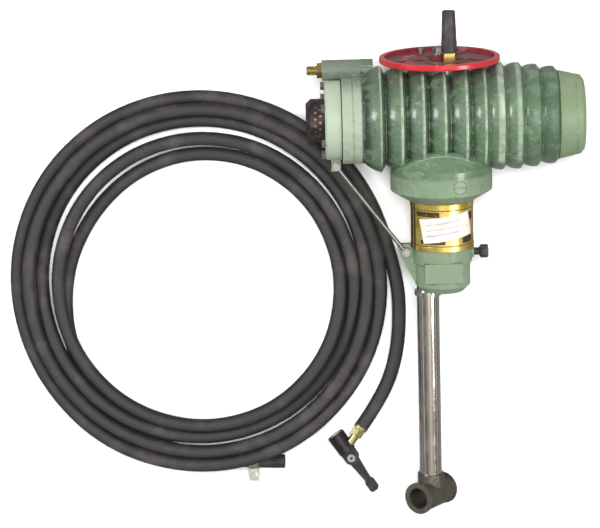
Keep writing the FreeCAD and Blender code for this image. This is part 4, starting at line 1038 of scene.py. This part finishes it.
@dataclass
class AirHose:
    """Loose air hose: the bare end, about five loose turns, and the tyre chuck.

    Millimetres on the floor. The turns are worked out by turns() from each turn's
    own size and place, outermost first. Every second turn lies on its neighbours,
    and two low humps let the inner end pass underneath on its way out.
    """

    radius: float = 7.5
    bore: float = 4.2
    middle: Tuple[float, float] = (-272.0, -17.0)
    turn_radius: Tuple[float, ...] = (202.0, 189.0, 174.0, 158.0, 139.0)
    turn_right: Tuple[float, ...] = (1.0, 3.0, 1.0, 5.0, 6.0)
    turn_up: Tuple[float, ...] = (-11.0, -10.0, -8.0, -13.0, -11.0)
    step: int = 30
    last_angle: int = 1680
    leaving_angle: float = 1575.0
    leaving_reach: float = 44.0
    leaving_power: float = 1.6
    low: float = 7.9
    high: float = 22.2
    humps: Tuple[Tuple[float, float], ...] = ((274.0, 30.0), (950.0, 24.0))
    hump_slope: float = 30.0
    crossing_steepness: float = 3.5
    mouth_depth: float = 14.0
    mouth_inset: float = 0.05
    pull: float = 1.035
    lead: Tuple[Tuple[float, float, float], ...] = (
        (-54.0, -72.0, 7.7),
        (-60.5, -118.0, 8.0),
        (-77.0, -156.5, 8.8),
        (-97.2, -185.5, 10.0),
    )
    tail: Tuple[Tuple[float, float, float], ...] = (
        (-182.5, -224.8, 9.0),
        (-250.0, -224.8, 9.0),
        (-299.0, -215.0, 9.0),
        (-345.0, -192.0, 9.0),
    )

    def between_turns(self, values: Sequence[float], angle: float) -> float:
        """Value at an angle that passes from each turn's value to the next.

        Args:
            values: One value for each turn.
            angle: Degrees from the coil's outer end.

        Returns:
            The value there, carried on in a straight line at both ends.
        """
        position = angle / 360 - 0.5
        turn = min(max(int(math.floor(position)), 0), len(values) - 2)
        return values[turn] + (values[turn + 1] - values[turn]) * (position - turn)

    def reach(self, angle: float) -> float:
        """Distance of the strand from the coil's middle.

        Args:
            angle: Degrees from the coil's outer end.

        Returns:
            The distance in millimetres.
        """
        around = math.radians(angle)
        plain = self.between_turns(self.turn_radius, angle)
        right = self.between_turns(self.turn_right, angle) * math.cos(around)
        upward = self.between_turns(self.turn_up, angle) * math.sin(around)
        leaving = max(0.0, angle - self.leaving_angle) / (self.last_angle - self.leaving_angle)
        return plain + right + upward + self.leaving_reach * leaving ** self.leaving_power

    def height(self, angle: float) -> float:
        """Height of the strand's middle over the floor.

        Args:
            angle: Degrees from the coil's outer end.

        Returns:
            The height in millimetres.
        """
        wave = max(-1.0, min(1.0, self.crossing_steepness * math.sin(math.radians(angle / 2))))
        lift = (1 - wave) / 2
        for middle, half_top in self.humps:
            share = (half_top + self.hump_slope - abs(angle - middle)) / self.hump_slope
            share = max(0.0, min(1.0, share))
            lift = max(lift, share * share * (3 - 2 * share))
        if angle < 2 * self.step:
            lift = 0.0
        return self.low + (self.high - self.low) * lift

    def turns(self) -> List[Tuple[float, float, float]]:
        """Points of the turns, from the innermost to the outermost.

        Returns:
            The control points in millimetres.
        """
        points = []
        for angle in range(self.last_angle, -1, -self.step):
            reach = self.reach(angle) * self.pull
            x = self.middle[0] + reach * math.cos(math.radians(angle))
            y = self.middle[1] + reach * math.sin(math.radians(angle))
            points.append((x, y, self.height(angle)))
        return points

    def curve(self) -> bpy.types.Object:
        """Make the hose as one smooth open spline.

        Returns:
            The hose.
        """
        points = list(self.tail) + self.turns() + list(self.lead)
        data = bpy.data.curves.new("air_hose", "CURVE")
        data.dimensions = "3D"
        data.bevel_depth = self.radius * MM
        data.bevel_resolution = 6
        data.resolution_u = 10
        data.use_fill_caps = False
        spline = data.splines.new("NURBS")
        spline.points.add(len(points) - 1)
        for point, (x, y, z) in zip(spline.points, points):
            point.co = (x * MM, y * MM, z * MM, 1.0)
        spline.order_u = 3
        spline.use_endpoint_u = True
        hose = bpy.data.objects.new("air_hose", data)
        bpy.context.scene.collection.objects.link(hose)
        data.materials.append(HoseRubber().material())
        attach(hose, "pump_body")
        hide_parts("hose_coil", "hose_lead", "hose_tail")
        return hose

    def mouth(self) -> bpy.types.Object:
        """Make the cut end of the hose, with its bore and rounded lips.

        Returns:
            The cut end.
        """
        end = Vector(self.tail[0]) * MM
        outward = (end - Vector(self.tail[1]) * MM).normalized()
        place = Matrix.Translation(end) @ outward.to_track_quat("Z", "Y").to_matrix().to_4x4()
        outer, inner = (self.radius - self.mouth_inset) * MM, self.bore * MM
        profile = (
            (outer, -self.mouth_depth * MM),
            (outer, -1.0 * MM),
            (outer - 0.3 * MM, -0.3 * MM),
            (outer - 0.9 * MM, 0.0),
            (inner + 0.7 * MM, 0.0),
            (inner + 0.1 * MM, -0.6 * MM),
            (inner, -self.mouth_depth * MM),
        )
        shape = bmesh.new()
        turned(shape, profile, 48, place)
        return new_piece("hose_mouth", shape, DARK_RUBBER, "pump_body")

    def fittings(self) -> None:
        """Dress the clamp, the barb and the tyre chuck."""
        dress("hose_clamp", CLAMP_STEEL)
        dress("clamp_bolt", CLAMP_STEEL)
        dress("hose_barb", BARB_BRASS)
        dress("chuck_body", CHUCK_BLACK)
        dress("chuck_seal", SEAL_RUBBER)
        dress("chuck_rivet", ZINC)
        dress("chuck_lever", CHUCK_BLACK)

    def length(self, hose: bpy.types.Object) -> float:
        """Length of the hose's middle line.

        Args:
            hose: The hose.

        Returns:
            The length in metres.
        """
        line = hose.data.copy()
        line.bevel_depth = 0.0
        holder = bpy.data.objects.new("hose_line", line)
        mesh = bpy.data.meshes.new_from_object(holder)
        points = [vertex.co.copy() for vertex in mesh.vertices]
        bpy.data.objects.remove(holder)
        bpy.data.curves.remove(line)
        bpy.data.meshes.remove(mesh)
        return sum((after - before).length for before, after in zip(points, points[1:]))

    def build(self) -> None:
        hose = self.curve()
        mouth = self.mouth()
        self.fittings()
        length = self.length(hose)
        LOG.info("air hose: %.2f m in about five loose turns", length)


# ------------------------------------------------------------------ studio
@dataclass
class Studio:
    """Pale floor, soft lights and the camera."""

    target: Tuple[float, float, float] = (-0.1590, -0.0010, 0.040)
    distance: float = 3.229
    tilt: float = 8.84
    swing: float = 5.0
    roll: float = -1.1
    lens: float = 180.0
    floor_side: float = 12.0
    floor_drop: float = 0.0002
    even_light: Colour = (0.96, 0.97, 1.0, 1.0)
    even_strength: float = 0.50
    mirrored_strength: float = 2.6
    mirrored_up: Tuple[float, float, float] = (0.20, 0.05, 0.97)
    mirrored_walls: Tuple[Tuple[float, Colour], ...] = (
        (0.0, (0.11, 0.12, 0.11, 1.0)),
        (0.36, (0.09, 0.10, 0.09, 1.0)),
        (0.50, (0.060, 0.057, 0.054, 1.0)),
        (0.60, (0.060, 0.057, 0.054, 1.0)),
        (0.64, (0.320, 0.315, 0.300, 1.0)),
        (0.68, (0.050, 0.047, 0.044, 1.0)),
        (0.86, (0.070, 0.064, 0.058, 1.0)),
        (0.950, (0.16, 0.155, 0.15, 1.0)),
        (0.974, (0.55, 0.55, 0.53, 1.0)),
        (0.987, (1.0, 1.0, 0.98, 1.0)),
    )

    def floor(self) -> None:
        """Lay the pale, flat floor."""
        shape = bmesh.new()
        bmesh.ops.create_grid(shape, x_segments=8, y_segments=8, size=self.floor_side)
        mesh = bpy.data.meshes.new("studio_floor")
        shape.to_mesh(mesh)
        shape.free()
        floor = bpy.data.objects.new("studio_floor", mesh)
        bpy.context.scene.collection.objects.link(floor)
        floor.location.z = -self.floor_drop
        graph = Graph(bpy.data.materials.new("pale_floor"))
        soft = graph.noise(3.0, 2.0, 0.5)
        colour = graph.mix(shade(244, 244, 243), shade(250, 250, 250), soft)
        mesh.materials.append(graph.surface(Base_Color=colour, Roughness=0.9))
        floor.visible_glossy = False

    def lamp(
        self, name: str, at: Tuple[float, float, float], size: float, watts: float, glossy: bool
    ) -> None:
        """Hang one soft light that faces the pump.

        Args:
            name: Its name.
            at: Where it hangs.
            size: Its side in metres.
            watts: Its power in watts.
            glossy: Whether metals mirror it.
        """
        data = bpy.data.lights.new(name, "AREA")
        data.shape = "RECTANGLE"
        data.size = size
        data.size_y = size
        data.energy = watts
        lamp = bpy.data.objects.new(name, data)
        bpy.context.scene.collection.objects.link(lamp)
        lamp.location = at
        aim = Vector(self.target) - Vector(at)
        lamp.rotation_euler = aim.to_track_quat("-Z", "Y").to_euler()
        lamp.visible_camera = False
        lamp.visible_glossy = glossy

    def sky(self) -> None:
        """Light the room evenly, with darker walls for the metals to mirror."""
        world = bpy.data.worlds.new("studio_room")
        bpy.context.scene.world = world
        graph = Graph(world)
        ray = graph.out(graph.node("ShaderNodeTexCoord"), "Generated")
        rise = graph.along(ray, Vector(self.mirrored_up).normalized())
        share = graph.out(graph.node("ShaderNodeMapRange", None, {"Value": rise, "From Min": -1.0}))
        walls = graph.out(graph.node("ShaderNodeValToRGB", {"stops": self.mirrored_walls}, {0: share}))
        shown = {"Color": walls, "Strength": self.mirrored_strength}
        mirrored = graph.out(graph.node("ShaderNodeBackground", None, shown))
        plain = {"Color": self.even_light, "Strength": self.even_strength}
        even = graph.out(graph.node("ShaderNodeBackground", None, plain))
        glossy = graph.out(graph.node("ShaderNodeLightPath"), "Is Glossy Ray")
        blend = graph.node("ShaderNodeMixShader", None, {0: glossy, 1: even, 2: mirrored})
        graph.node("ShaderNodeOutputWorld", None, {"Surface": graph.out(blend)})

    def camera(self) -> None:
        """Set the camera high over the pump, tipped a little towards the handwheel."""
        tilt, swing, roll = (math.radians(angle) for angle in (self.tilt, self.swing, self.roll))
        back = Vector((math.sin(swing) * math.cos(tilt), math.sin(tilt), math.cos(tilt) * math.cos(swing)))
        back.normalize()
        right = Vector((0.0, 1.0, 0.0)).cross(back).normalized()
        upward = back.cross(right)
        right_rolled = right * math.cos(roll) + upward * math.sin(roll)
        upward_rolled = upward * math.cos(roll) - right * math.sin(roll)
        turn = Matrix((right_rolled, upward_rolled, back)).transposed().to_4x4()
        data = bpy.data.cameras.new("studio_camera")
        data.lens = self.lens
        data.sensor_width = 36.0
        data.clip_end = 60.0
        camera = bpy.data.objects.new("studio_camera", data)
        bpy.context.scene.collection.objects.link(camera)
        camera.matrix_world = Matrix.Translation(Vector(self.target) + back * self.distance) @ turn
        bpy.context.scene.camera = camera

    def build(self) -> None:
        """Set up the floor, lights and camera."""
        self.floor()
        self.sky()
        self.lamp("key_light", (0.35, 0.95, 4.0), 1.5, 180.0, False)
        self.lamp("left_fill", (-2.6, 0.8, 2.4), 0.9, 45.0, True)
        self.lamp("right_fill", (2.4, -0.6, 2.2), 0.9, 35.0, True)
        self.camera()
        bpy.context.scene.view_settings.view_transform = "Standard"
        LOG.info("studio: floor, 3 lights and camera set")


def main() -> None:
    """Build every sub-assembly in order and report it."""
    logging.basicConfig(level=logging.INFO, format="%(message)s")
    Studio().build()
    AirHose().build()
    PumpBody().build()
    Works().build()
    Handwheel().build()
    Foot().build()


if __name__ == "__main__":
    main()
